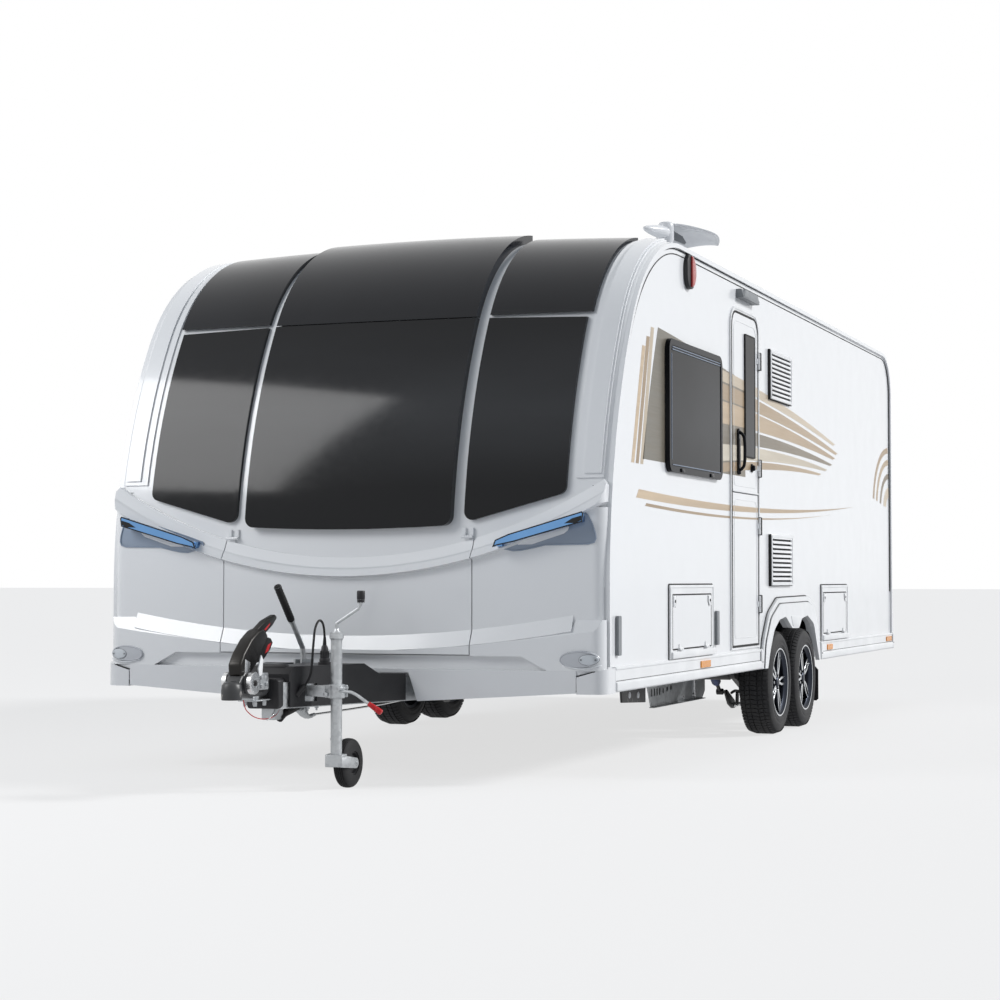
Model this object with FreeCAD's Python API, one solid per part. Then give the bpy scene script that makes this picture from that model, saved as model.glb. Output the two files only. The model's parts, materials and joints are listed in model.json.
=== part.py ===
"""Twin-axle travel caravan: body, chassis, running gear, hitch and fittings.

Millimetres.  X is to the nearside (the door side), -Y is towards the towing
hitch, +Z is up.  The origin is on the ground at mid-length and mid-width.
"""
import FreeCAD, Part
import math
import os

os.makedirs("parts", exist_ok=True)

V = FreeCAD.Vector
X, Y, Z = V(1, 0, 0), V(0, 1, 0), V(0, 0, 1)

# ---- driving dimensions -------------------------------------------------
NOSE_Y = -3980                 # tip of the coupling
TAIL_Y = 3980                  # outer face of the rear lamps
SIDE_X = 1225                  # outer face of the side walls
WALL = 30                      # sandwich walls, roof, front and rear
BODY_BOTTOM = 455
FLOOR_TOP = 500
SKIRT_BOTTOM = 390
GAP = 5                        # shut line of doors and lids

# side outline, seen along X: upright, large arc, smaller arc, level roof
FRONT_Y = -2785                # upright front edge at the side wall
BEND_Z = 850                   # where the front starts to lean back
LEAN_R = 2350                  # large arc of the leaning front
SHOULDER_Z = 2056              # where the smaller arc starts
ROOF_EDGE_Z = 2524
REAR_Y = 3940
REAR_TOP_R = 300
CROWN_R = 18000                # distance of the crown's slanted axis from the front corner
CROWN = SIDE_X ** 2 / (2 * CROWN_R * math.sqrt(2))   # bow of the front, crown of the roof
EDGE_R = 28                    # rounding along the side edges

# running gear
WHEEL_Y = (430, 1090)
WHEEL_R = 297
TYRE_W = 185
TYRE_OUT_X = 1240
RIM_R = 198
HUB_R = 100
SPINDLE_R = 20
ARM_DY, ARM_DZ = 160, 60       # suspension arm, from axle tube down to hub
AXLE_R = 45
HUB_X = TYRE_OUT_X - 227                          # inner face of the brake drums

# chassis
RAIL_X = 740
RAIL_TOP = BODY_BOTTOM
RAIL_H = 125
RAIL_FRONT_Y, RAIL_REAR_Y = -1760, 3800
SHEET = 4
DRAW_TIP_X, DRAW_TIP_Y = 45, -3640

# jockey wheel
MAST_X, MAST_Y = 252, -3465
MAST_R = 24
JOCKEY_R = 105
JOCKEY_TRAIL = 120

PIN_PLAY = 0.05                # radial play of pins in their bores


# ---- small helpers ------------------------------------------------------
def box(x0, x1, y0, y1, z0, z1):
    """Box between two corners, given in any order."""
    lo = V(min(x0, x1), min(y0, y1), min(z0, z1))
    return Part.makeBox(abs(x1 - x0), abs(y1 - y0), abs(z1 - z0), lo)


def rod(r, a, b):
    """Cylinder of radius r from point a to point b."""
    a, b = V(*a), V(*b)
    return Part.makeCylinder(r, (b - a).Length, a, b - a)


def tube(r_out, r_in, a, b):
    return rod(r_out, a, b).cut(rod(r_in, a, b))


def fuse(*shapes):
    body = shapes[0]
    if len(shapes) > 1:
        body = body.fuse(list(shapes[1:]))
    return body.removeSplitter()


def prism(points, axis, start, depth):
    """Extrude a polygon; axis X takes (y, z), Y takes (x, z), Z takes (x, y)."""
    place = {"X": lambda p: V(start, *p), "Y": lambda p: V(p[0], start, p[1]),
             "Z": lambda p: V(p[0], p[1], start)}[axis]
    corners = [place(p) for p in points]
    face = Part.Face(Part.makePolygon(corners + corners[:1]))
    return face.extrude({"X": X, "Y": Y, "Z": Z}[axis] * depth)


def rounded(x0, x1, y0, y1, z0, z1, r, axis):
    """Box whose four edges along one axis are rounded."""
    b = box(x0, x1, y0, y1, z0, z1)
    along = {"X": X, "Y": Y, "Z": Z}[axis]
    edges = [e for e in b.Edges if abs(e.tangentAt(e.FirstParameter).dot(along)) > 0.9]
    return b.makeFillet(r, edges)


def eased(shape, r, axis, low, high):
    """Round the edges that run along an axis and lie between two heights."""
    along = {"X": X, "Y": Y, "Z": Z}[axis]
    edges = [e for e in shape.Edges if abs(e.tangentAt(e.FirstParameter).dot(along)) > 0.99
             and e.BoundBox.ZMin > low and e.BoundBox.ZMax < high and e.BoundBox.DiagonalLength > 5]
    return shape.makeFillet(r, edges)


def mirrored(shape):
    return shape.mirror(V(0, 0, 0), X)


def pair(shape):
    """The shape and its copy on the other side, as one compound."""
    return Part.makeCompound([shape, mirrored(shape)])


def save(name, shape):
    solids = shape.Solids
    shape = solids[0] if len(solids) == 1 else Part.makeCompound(solids)
    assert shape.isValid(), name
    shape.exportStep(os.path.join("parts", name + ".step"))


# ---- body envelope ------------------------------------------------------
LEAN_END = math.asin((SHOULDER_Z - BEND_Z) / LEAN_R)
SHOULDER_R = (ROOF_EDGE_Z - SHOULDER_Z) / (1 - math.sin(LEAN_END))
SHOULDER_Y = FRONT_Y + LEAN_R * (1 - math.cos(LEAN_END))
TURN_Y = SHOULDER_Y + SHOULDER_R * math.cos(LEAN_END)   # where the roof is level
TURN_Z = ROOF_EDGE_Z - SHOULDER_R


def front_curve(out, z_start):
    """Edges of the front-and-roof outline, moved out by a distance."""
    def lean(a):
        r = LEAN_R + out
        return V(0, FRONT_Y + LEAN_R - r * math.cos(a), BEND_Z + r * math.sin(a))

    def shoulder(a):
        r = SHOULDER_R + out
        return V(0, TURN_Y - r * math.cos(a), TURN_Z + r * math.sin(a))

    half = math.pi / 2
    foot = V(0, FRONT_Y - out, z_start)
    bend, neck, turn = lean(0), lean(LEAN_END), shoulder(half)
    tail = V(0, REAR_Y + 200, turn.z)
    return [Part.LineSegment(foot, bend).toShape(),
            Part.Arc(bend, lean(LEAN_END / 2), neck).toShape(),
            Part.Arc(neck, shoulder((LEAN_END + half) / 2), turn).toShape(),
            Part.LineSegment(turn, tail).toShape()]


def crowned(edges):
    """Close an outline's face and turn it about the slanted crown axis."""
    face = Part.Face(Part.Wire(edges))
    shift = V(0, -CROWN, CROWN)
    face.translate(shift)
    corner = V(0, SHOULDER_Y - CROWN, SHOULDER_Z + CROWN)
    inward = V(0, 1, -1).normalize()
    centre = corner + inward * CROWN_R
    along = V(0, 1, 1).normalize()
    half_turn = math.degrees(math.asin((SIDE_X + 60) / (CROWN_R - 7000)))
    face.rotate(centre, along, -half_turn)
    return face.revolve(centre, along, 2 * half_turn)


def envelope(out, bottom):
    """Solid under the crowned outline, moved out by a distance."""
    edges = front_curve(out, bottom)
    foot = edges[0].Vertexes[0].Point
    tail = edges[-1].Vertexes[-1].Point
    low = V(0, tail.y, foot.z)
    edges += [Part.LineSegment(tail, low).toShape(), Part.LineSegment(low, foot).toShape()]
    return crowned(edges)


def skin(inner, outer, bottom):
    """Layer between two distances out from the crowned outline."""
    a, b = front_curve(outer, bottom), front_curve(inner, bottom)
    ends = [Part.LineSegment(a[-1].Vertexes[-1].Point, b[-1].Vertexes[-1].Point).toShape(),
            Part.LineSegment(b[0].Vertexes[0].Point, a[0].Vertexes[0].Point).toShape()]
    return crowned(a + ends[:1] + b[::-1] + ends[1:])


def body_block(side, rear, out, bottom, edge_r, rear_r):
    """Whole body as a solid: crowned front and roof, flat sides and rear."""
    block = envelope(out, bottom - 200)
    block = block.common(box(-side, side, FRONT_Y - 400, rear, bottom, 3000))
    if rear_r:
        top = [e for e in block.Edges
               if e.BoundBox.YMin > rear - 1 and e.BoundBox.ZMin > ROOF_EDGE_Z - 80
               and e.BoundBox.XLength > side]
        block = block.makeFillet(rear_r, top)
    if edge_r:
        rims = [e for e in block.Edges
                if abs(abs(e.BoundBox.XMin) - side) < 0.5 and e.BoundBox.XLength < 0.5
                and e.BoundBox.ZMax > bottom + 1]
        block = block.makeFillet(edge_r, rims)
    return block


OUTER = body_block(SIDE_X, REAR_Y, 0, BODY_BOTTOM, EDGE_R, REAR_TOP_R)
INNER = body_block(SIDE_X - WALL, REAR_Y - WALL, -WALL, BODY_BOTTOM - 10, 0, REAR_TOP_R - WALL)


# ---- openings in the body -----------------------------------------------
DOOR = (-635, -65, 530, 2318)                      # y0, y1, z0, z1
DOOR_SPLIT = 1350
DOOR_HEAD_R = 90
DOOR_WINDOW = (-370, -160, 1550, 2216)
WINDOWS = [                                        # side, y0, y1, z0, z1
    (1, -1871, -887, 1398, 2040),
    (-1, -1871, -887, 1398, 2040),
    (-1, 120, 1120, 1450, 2040),
    (-1, 2700, 3200, 1600, 2040),
]
HATCHES = [                                        # name, side, y0, y1, z0, z1
    ("nearside_hatch_front", 1, -1823, -1028, 502, 858),
    ("nearside_hatch_rear", 1, 1559, 2353, 502, 850),
    ("offside_hatch", -1, 1900, 2450, 502, 850),
]
HATCH_RIM = 45
PANE = 20                                          # acrylic panes stand proud of the wall
REAR_WINDOW = (-480, 480, 1420, 1960)              # x0, x1, z0, z1
ARCH = [(76, 390), (138, 496), (231, 601), (356, 656), (515, 671), (675, 602),
        (858, 598), (927, 654), (1082, 670), (1257, 617), (1361, 459), (1410, 390)]   # y, z
ARCH_RIM = [(-28, 390), (4, 542), (142, 695), (359, 779), (1120, 785), (1278, 749),
            (1436, 567), (1480, 390)]
RAISED_RIM = [(12, 390), (40, 528), (168, 668), (372, 745), (1110, 750), (1255, 716),
              (1398, 552), (1438, 390)]
BROW_Z = 2030                                      # joint across the top of the front windows
LID_X, LID_BOTTOM = 620, 548                       # front locker lid
LOCKER = (-2740, -2300, 500, 860)                  # inside: y0, y1, z0, z1
PANEL_Y = -2850                                    # plain front panel, at mid-width
RAISED_Y = -2882                                   # its raised corners and lower sweep
RECESS = (487, 548)                                # z of the long recess under the lid
CREASE_R, CREASE_TILT = 2418, 8                    # sweeping rib under the front windows
CREASE = [(-2878, 900), (-2852, 893), (-2780, 893), (-2780, 985), (-2820, 985), (-2846, 938), (-2856, 930)]
SWEEP_R, SWEEP_TILT = 5900, 19                     # shallower sweep above the recess
SWEEP = [(-2881, 565), (-2860, 557), (-2780, 557), (-2780, 633), (-2849, 633)]
LOWER_RISE = [(857, 548), (973, RECESS[0]), (1240, RECESS[0]), (1240, 709), (1095, 709),
              (1078, 659), (980, 641), (857, 622), (600, 592), (300, 570)]   # half of it: x, z
CORNER_TOP = [(-2972, 400), (-2815, 709), (-2700, 709), (-2700, 400)]  # its sloping top: y, z
SILL = [(-1106, 487), (1106, 487), (1106, 390), (373, 345), (330, 472), (-330, 472),
        (-373, 345), (-1106, 390)]                                  # x, z


def through_side(side, y0, y1, z0, z1):
    return box(side * (SIDE_X - WALL - 20), side * (SIDE_X + 30), y0, y1, z0, z1)


def door_hole():
    return eased(through_side(1, *DOOR), DOOR_HEAD_R, "X", DOOR_SPLIT, 2500)


def shrunk(frame, by):
    y0, y1, z0, z1 = frame
    return y0 + by, y1 - by, z0 + by, z1 - by


def hinge(at, axis, toward, out, length, pin_h=8, leaf=24, foot=0):
    """Pin hinge lying on a face: (fixed lugs and pin, moving knuckle).

    toward points at the moving panel, out points away from the face, and foot
    is how far the fixed lugs reach below the face.
    """
    if toward.cross(out).dot(axis) < 0:
        axis = axis * -1
    place = FreeCAD.Matrix(toward.x, out.x, axis.x, at[0], toward.y, out.y, axis.y, at[1],
                           toward.z, out.z, axis.z, at[2], 0, 0, 0, 1)
    third, r, pin = length / 6, 7, 3
    moving = fuse(rod(r, (0, 0, -third), (0, 0, third)),
                  box(0, leaf, -pin_h, 4 - pin_h, -third, third),
                  box(0, r, -pin_h, 0, -third, third))
    moving = moving.cut(rod(pin + PIN_PLAY, (0, 0, -length), (0, 0, length)))
    lugs = [rod(pin, (0, 0, -length / 2), (0, 0, length / 2))]
    for lo, hi in ((-length / 2, -third - 1), (third + 1, length / 2)):
        lugs += [rod(r, (0, 0, lo), (0, 0, hi)), box(-leaf, 0, -pin_h - foot, 4 - pin_h, lo, hi),
                 box(-r, 0, -pin_h, 0, lo, hi)]
    fixed = fuse(*lugs)
    fixed.Placement = moving.Placement = FreeCAD.Placement(place)
    return fixed, moving


def swept(outline, radius, tilt):
    """Turn a (y, z) outline about a far, tilted axis, so that it rises to both sides."""
    lean = math.radians(tilt)
    centre = V(0, *outline[0]) + V(0, math.sin(lean), math.cos(lean)) * radius
    along = V(0, math.cos(lean), -math.sin(lean))
    half_turn = math.degrees(math.asin(1260 / radius))
    corners = [V(0, *p) for p in outline]
    face = Part.Face(Part.makePolygon(corners + corners[:1]))
    face.rotate(centre, along, -half_turn)
    return face.revolve(centre, along, 2 * half_turn)


def front_plan(front_y, side_x, corner, z0, z1):
    """Bowed front moulding with rounded corners, solid back to the body."""
    bow, back = 40, -2700
    cx = side_x - corner
    c = math.cos(math.pi / 4) * corner
    side_y = front_y + bow + corner
    pts = [V(-side_x, side_y, z0), V(-cx - c, side_y - c, z0), V(-cx, front_y + bow, z0),
           V(0, front_y, z0), V(cx, front_y + bow, z0), V(cx + c, side_y - c, z0),
           V(side_x, side_y, z0), V(side_x, back, z0), V(-side_x, back, z0)]
    edges = [Part.Arc(*pts[0:3]).toShape(), Part.Arc(*pts[2:5]).toShape(),
             Part.Arc(*pts[4:7]).toShape(), Part.LineSegment(pts[6], pts[7]).toShape(),
             Part.LineSegment(pts[7], pts[8]).toShape(), Part.LineSegment(pts[8], pts[0]).toShape()]
    return Part.Face(Part.Wire(edges)).extrude(V(0, 0, z1 - z0))


LID_PIN_Y, LID_PIN_Z = -2818, 1075                 # the lid's hinge line
LID_HINGE_X = 585


def lid_hinges():
    """The lid hangs from two pins just above the ends of its sweeping top edge."""
    return [hinge((x, LID_PIN_Y, LID_PIN_Z), X, Z * -1, Y * -1, 54, pin_h=14, leaf=40, foot=12)
            for x in (-LID_HINGE_X, LID_HINGE_X)]


# ---- body panels --------------------------------------------------------
def awning_rail():
    """Bead along the edge of the nearside wall, up the front and over the roof."""
    inset_out, inset_in = 6, 28
    band = box(SIDE_X - 22, SIDE_X + 14, -4000, 5000, 503, 3000)
    big, small = [body_block(SIDE_X + 40, REAR_Y - i, -i, BODY_BOTTOM, 0, REAR_TOP_R - i)
                  for i in (inset_out, inset_in)]
    return big.cut(small).common(band).cut(OUTER)


RAILS = [awning_rail(), mirrored(awning_rail())]


FLAP = [(1010, 140), (1228, 140), (1240, 152), (1240, 330), (1190, 385), (1190, BODY_BOTTOM),
        (1010, BODY_BOTTOM)]                       # x, z of the nearside mud flap


def body_panels():
    shell = OUTER.cut(INNER)
    inside_x = SIDE_X - WALL
    wide = box(-inside_x, inside_x, -4000, 5000, 0, 3000)
    roof_y0, roof_y1 = -1600, REAR_Y - REAR_TOP_R - 20
    middle = shell.common(wide)
    front = middle.common(box(-2000, 2000, -4000, roof_y0, 0, 3000))
    roof = middle.common(box(-2000, 2000, roof_y0, roof_y1, 0, 3000))
    rear = middle.common(box(-2000, 2000, roof_y1, 5000, 0, 3000))
    floor = INNER.common(box(-inside_x, inside_x, -4000, 5000, BODY_BOTTOM, FLOOR_TOP))
    wheel_bay = (ARCH[0][0] - 10, ARCH[-1][0] + 10, 940)
    for side in (1, -1):
        floor = floor.cut(box(side * wheel_bay[2], side * 1300, wheel_bay[0], wheel_bay[1], 0, 600))
    for x0, x1, y0, z0, z1 in front_window_cuts():
        front = front.cut(box(x0, x1, y0, 0, z0, z1))
    front = front.cut(box(-LID_X + 60, LID_X - 60, -3000, -2500, LID_BOTTOM + 25, LOCKER[3]))
    x0, x1, z0, z1 = REAR_WINDOW
    rear = rear.cut(box(x0 + 30, x1 - 30, REAR_Y - 100, REAR_Y + 10, z0 + 30, z1 - 30))
    roof = roof.cut(rooflight_cuts())
    brow = front.common(box(-2000, 2000, -4000, 5000, BROW_Z, 3000))
    front = front.cut(box(-2000, 2000, -4000, 5000, BROW_Z, 3000))
    save("front_brow", brow)
    save("front_shell", fuse(front, *[fixed for fixed, moving in lid_hinges()]))
    save("roof", roof)
    save("rear_panel", rear)
    save("floor", floor)
    for side, name in ((1, "nearside_wall"), (-1, "offside_wall")):
        wall = shell.common(box(side * inside_x, side * 1300, -4000, 5000, 0, 3000))
        cuts = [eased(prism(ARCH, "X", 0, side * 2000), 90, "X", 400, 800)]
        cuts += [through_side(side, *shrunk(w[1:], 30)) for w in WINDOWS if w[0] == side]
        cuts += [through_side(side, *shrunk(h[2:], HATCH_RIM)) for h in HATCHES if h[1] == side]
        if side == 1:
            cuts.append(door_hole())
        save(name, wall.cut(cuts).fuse(RAILS[0 if side == 1 else 1]).removeSplitter())
    boxes = []
    for side in (1, -1):
        y0, y1, x_in = wheel_bay
        outer = box(side * x_in, side * inside_x, y0, y1, BODY_BOTTOM, 690)
        inner = box(side * (x_in + 8), side * (inside_x + 1), y0 + 8, y1 - 8, 0, 682)
        boxes.append(outer.cut(inner))
        flap_y = y1 - 8
        flap = [(side * x, z) for x, z in FLAP]
        boxes.append(prism(flap, "Y", flap_y, 6))
    save("wheel_boxes", Part.makeCompound(boxes))


# ---- front windows ------------------------------------------------------
CENTRE_WINDOW_X = 512
OUTER_WINDOW_X = (568, 1036)
FRONT_WINDOW_TOP = 2090
ROOF_PANEL_Y = -1750                               # rear edge of the dark panels over the windows
COLUMN_Z = 1332                                    # foot of the ribs beside the outer panes


def front_window_cuts():
    return [(-440, 440, -3500, 1200, 2030), (630, 980, -3500, 1330, 2030),
            (-980, -630, -3500, 1330, 2030)]


def front_glass():
    layer = skin(0, PANE, 900)
    proud = skin(0, PANE + 22, 900)
    bow = rod(9000, (0, -4000, 1112 + 9000), (0, 0, 1112 + 9000))
    w = CENTRE_WINDOW_X
    low = box(-w, w, -4000, 0, 1000, FRONT_WINDOW_TOP).common(bow)
    low = eased(low, 45, "Y", 1000, 1300)
    top = box(-w, w, -4000, ROOF_PANEL_Y, FRONT_WINDOW_TOP + GAP, 3000)
    x0, x1 = OUTER_WINDOW_X
    pane = prism([(x0, 1137), (x1, 1266), (x1, FRONT_WINDOW_TOP - 12), (x0, FRONT_WINDOW_TOP)],
                 "Y", -4000, 4000)
    pane = eased(pane, 40, "Y", 1000, 1300)
    save("front_windows", Part.makeCompound([proud.common(low), pair(layer.common(pane))]))
    upper = box(x0, x1 + 20, -4000, ROOF_PANEL_Y, FRONT_WINDOW_TOP + 15, 3000)
    save("front_upper_panels", Part.makeCompound([proud.common(top), pair(layer.common(upper))]))


# ---- front lower mouldings ----------------------------------------------
def front_panel():
    """Lower front in one piece: plain panel, sweeping rib, lower sweep and raised corners."""
    side, corner = SIDE_X + 3, 62
    above = rod(CREASE_R, (0, -4000, 900 + CREASE_R), (0, -2000, 900 + CREASE_R))
    plain = front_plan(PANEL_Y, side, corner, RECESS[0], 1200).cut(above)
    outline = LOWER_RISE + [(-x, z) for x, z in LOWER_RISE[::-1]]
    rise = prism(outline, "Y", -3000, 300).common(prism(CORNER_TOP, "X", -1300, 2600))
    sweep = swept(SWEEP, SWEEP_R, SWEEP_TILT).common(box(-1085, 1085, -3000, -2700, 0, 1200))
    rib = swept(CREASE, CREASE_R, CREASE_TILT).common(front_plan(RAISED_Y, SIDE_X, corner, 880, 1330))
    limit = front_plan(RAISED_Y, side, corner, RECESS[0], 1200)
    whole = plain.fuse(rise.common(limit)).fuse(sweep).fuse(rib)
    behind = [box(-1300, 1300, FRONT_Y - 1, -2000, 0, BEND_Z)]
    behind += [box(s * SIDE_X, s * 1300, FRONT_Y - 1, -2000, 0, 1400) for s in (1, -1)]
    return whole.cut([OUTER, *RAILS, *behind]).removeSplitter()


def front_mouldings():
    whole = front_panel()
    panel = whole.cut(box(-LID_X, LID_X, -3000, -2600, LID_BOTTOM, 1300))
    save("front_lower_panel", panel)
    lid = whole.common(box(-LID_X + GAP, LID_X - GAP, -3000, -2600, LID_BOTTOM + GAP, 1300))
    save("front_locker_lid", fuse(lid, *[moving for fixed, moving in lid_hinges()]))
    sill = prism(SILL, "Y", -3000, 300).common(front_plan(RAISED_Y - 2, SIDE_X + 8, 60, 300, 500))
    a, b = drawbar_half(-2900, 30), drawbar_half(-2780, 30)
    arms = prism([(-a, -2900), (a, -2900), (b, -2780), (-b, -2780)], "Z", 300, SILL[4][1] - 300)
    middle = sill.cut([OUTER, arms, box(-1300, 1300, -2790, -2000, 0, 600)])
    cover = prism([(1110, 386), (1300, 386), (1300, 499), (1240, 497), (1110, 460)], "Y", -3000, 300)
    corner = cover.common(front_plan(RAISED_Y - 6, SIDE_X + 15, 66, 300, 500))
    corner = corner.cut([OUTER, whole, box(-1200, 1200, -2800, -2000, 0, 600)])
    save("front_sill", Part.makeCompound([middle, pair(corner)]))
    y0, y1, z0, z1 = LOCKER
    plates = [box(-LID_X, LID_X, y0, y1, z1, z1 + 8), box(-LID_X, LID_X, y1 - 8, y1, z0, z1)]
    plates += [box(s * LID_X, s * (LID_X - 8), y0, y1 - 8, z0, z1) for s in (1, -1)]
    save("front_locker_box", Part.makeCompound([p.common(INNER) for p in plates]))
    lamp = rounded(1050, 1196, -2910, -2800, 502, 582, 38, "Y")
    save("front_lamps", pair(lamp.common(front_plan(RAISED_Y - 10, SIDE_X, 62, 400, 700)).cut(
        front_plan(RAISED_Y, SIDE_X + 3, 62, 300, 1180))))
    inner, outer = (700, -2884, 1041), (1105, -2872, 1180)
    grip = fuse(rod(13, inner, outer), *[rod(14, p, (p[0], -2790, p[2])) for p in (inner, outer)])
    save("front_grab_handles", pair(grip.cut([OUTER, whole])))


def corner_columns():
    """Two stepped ribs up each front corner, between the outer pane and the side."""
    ribs = [skin(0, 8, COLUMN_Z).common(box(1075, 1200, -4000, ROOF_PANEL_Y, COLUMN_Z, 3000)),
            skin(7, 16, COLUMN_Z).common(box(1112, 1190, -4000, ROOF_PANEL_Y, COLUMN_Z + 20, 3000))]
    save("front_corner_columns", pair(fuse(*ribs)))


# ---- sides --------------------------------------------------------------
def side_trim():
    trim = []
    for side in (1, -1):
        lip = eased(prism(ARCH_RIM, "X", side * SIDE_X, side * 18), 190, "X", 400, 800)
        rim = eased(prism(RAISED_RIM, "X", side * SIDE_X, side * 25), 160, "X", 400, 800)
        arch = eased(prism(ARCH, "X", 0, side * 2000), 90, "X", 400, 800)
        trim.append(fuse(lip, rim).cut(arch))
        for y0, y1 in ((-2698, ARCH_RIM[0][0] - 1), (ARCH_RIM[-1][0] + 1, 3935)):
            trim.append(box(side * SIDE_X, side * (SIDE_X + 15), y0, y1, SKIRT_BOTTOM, FLOOR_TOP))
    save("skirts_and_arches", Part.makeCompound(trim))


def windows():
    panes = [rounded(*sorted((w[0] * SIDE_X, w[0] * (SIDE_X + PANE))), *w[1:], 55, "X") for w in WINDOWS]
    x0, x1, z0, z1 = REAR_WINDOW
    panes.append(rounded(x0, x1, REAR_Y, REAR_Y + PANE, z0, z1, 55, "Y"))
    save("body_windows", Part.makeCompound(panes))


REFLECTORS = [(-1307, -1130), (1674, 1824), (3670, 3865)]


def side_details():
    vents = []
    for z0, z1 in ((1911, 2193), (851, 1141)):
        plate = box(SIDE_X, SIDE_X + 16, 204, 733, z0, z1)
        pitch = (z1 - z0 - 30) / 10
        slots = [box(SIDE_X + 6, SIDE_X + 20, 234, 703, z0 + 20 + i * pitch, z0 + 32 + i * pitch)
                 for i in range(10)]
        vents.append(plate.cut(slots))
    save("fridge_vents", Part.makeCompound(vents))
    porch = prism([(SIDE_X, 2400), (SIDE_X + 28, 2400), (SIDE_X + 40, 2412), (SIDE_X + 30, 2445),
                   (SIDE_X, 2445)], "Y", -510, 360)
    bars = [rounded(SIDE_X, SIDE_X + 16, y - 22, y + 22, 549, 724, 10, "X") for y in (-2635, -960)]
    save("side_fittings", Part.makeCompound([porch] + bars))
    lamps = []
    for side in (1, -1):
        marker = rounded(SIDE_X, SIDE_X + 20, -1540, -1404, 2322, 2490, 66, "X")
        lamps.append(marker if side == 1 else mirrored(marker))
        for y0, y1 in REFLECTORS:
            lamps.append(box(side * (SIDE_X + 15), side * (SIDE_X + 21), y0, y1, 445, 478))
    save("side_lamps", Part.makeCompound(lamps))


HATCH_PIN_X = SIDE_X + 8 + 8
HATCH_PIN_DZ = 24                                  # pin height over the frame's lower edge


def hatches():
    frames = []
    for name, side, y0, y1, z0, z1 in HATCHES:
        face = SIDE_X + 8
        outer = box(side * SIDE_X, side * face, y0, y1, z0, z1)
        hole = shrunk((y0, y1, z0, z1), HATCH_RIM)
        frame = outer.cut(through_side(side, *hole))
        lid = box(side * (SIDE_X - WALL), side * face, *shrunk(hole, GAP))
        for y in (y0 + 160, y1 - 160):
            at = (side * HATCH_PIN_X, y, z0 + HATCH_RIM + 2)
            fixed, moving = hinge(at, Y, Z, X * side, 60)
            frame, lid = frame.fuse(fixed), lid.fuse(moving)
        frames.append(frame.removeSplitter())
        save(name, lid.removeSplitter())
    return frames


DOOR_FACE = SIDE_X + 6
DOOR_PIN = (DOOR_FACE + 8, DOOR[1] - 2)            # x, y


def door():
    """Two-part door; the frames of the door and hatches share a node."""
    y0, y1, z0, z1 = DOOR
    frame = box(SIDE_X, DOOR_FACE, y0 - 28, y1 + 28, z0 - 20, z1 + 28)
    frame = eased(frame, DOOR_HEAD_R + 28, "X", DOOR_SPLIT, 2500).cut(door_hole())
    leaves = {"door_lower": (z0 + GAP, DOOR_SPLIT - GAP / 2, (750, 1180)),
              "door_upper": (DOOR_SPLIT + GAP / 2, z1 - GAP, (1500, 2095))}
    for name, (lo, hi, hinge_z) in leaves.items():
        leaf = box(SIDE_X - WALL, DOOR_FACE, y0 + GAP, y1 - GAP, lo, hi)
        if name == "door_upper":
            leaf = eased(leaf, DOOR_HEAD_R - GAP, "X", DOOR_SPLIT + 100, 2500)
        for z in hinge_z:
            fixed, moving = hinge((DOOR_PIN[0], DOOR_PIN[1], z), Z, Y * -1, X, 90)
            frame, leaf = frame.fuse(fixed), leaf.fuse(moving)
        if name == "door_upper":
            leaf = leaf.cut(through_side(1, *shrunk(DOOR_WINDOW, 12)))
        save(name, leaf.removeSplitter())
    save("door_and_hatch_frames", Part.makeCompound([frame.removeSplitter()] + hatches()))
    save("door_window", box(DOOR_FACE, DOOR_FACE + 8, *DOOR_WINDOW))
    save("door_handle", rounded(DOOR_FACE, DOOR_FACE + 40, -530, -480, 1450, 1690, 8, "Z"))


# ---- roof and rear ------------------------------------------------------
ROOFLIGHTS = [(0, -700, 700, 500), (0, 1500, 400, 400), (350, 3000, 400, 400)]  # x, y, dx, dy


def rooflight_cuts():
    return [box(x - dx / 2 + 30, x + dx / 2 - 30, y - dy / 2 + 30, y + dy / 2 - 30, 2300, 2800)
            for x, y, dx, dy in ROOFLIGHTS]


def roof_parts():
    lights = [rounded(x - dx / 2, x + dx / 2, y - dy / 2, y + dy / 2, 2480, 2630, 40, "Z").cut(OUTER)
              for x, y, dx, dy in ROOFLIGHTS]
    lights = [s.cut(box(x - dx / 2 + 30, x + dx / 2 - 30, y - dy / 2 + 30, y + dy / 2 - 30, 2400, 2600))
              for s, (x, y, dx, dy) in zip(lights, ROOFLIGHTS)]
    save("roof_fittings", Part.makeCompound(lights + [aerial().cut(OUTER)]))


AERIAL = (1050, -1245, 2700)                       # top of its hub
AERIAL_TURN = -16                                  # degrees, about the hub


def aerial():
    """Hub on the roof with a stubby blade forwards and a wide drooping wing rearwards."""
    x, y, z = AERIAL
    hub = rod(34, (0, 0, 2480 - z), (0, 0, 0))
    blade = Part.makeCone(30, 14, 210, V(0, 0, -38), Y * -1).fuse(Part.makeSphere(14, V(0, -210, -38)))
    wing_r, droop = 190, 44
    wing = tube(wing_r, wing_r - 10, (0, 0, -wing_r), (0, 500, -wing_r))
    wing = wing.common(box(-300, 300, 0, 500, -droop, 50))
    shape = fuse(hub, blade, wing)
    shape.rotate(V(0, 0, 0), Z, AERIAL_TURN)
    shape.translate(V(x, y, z))
    return shape


def rear_parts():
    y = REAR_Y
    lamp = rounded(1060, 1190, y, TAIL_Y, 700, 1300, 20, "Y")
    brake_lamp = box(-200, 200, y, y + 14, 2130, 2165)
    save("rear_lamps", Part.makeCompound([pair(lamp), brake_lamp]))
    bumper = rounded(-SIDE_X - 10, SIDE_X + 10, y, y + 34, SKIRT_BOTTOM, 640, 12, "X")
    save("rear_bumper", bumper)


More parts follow.
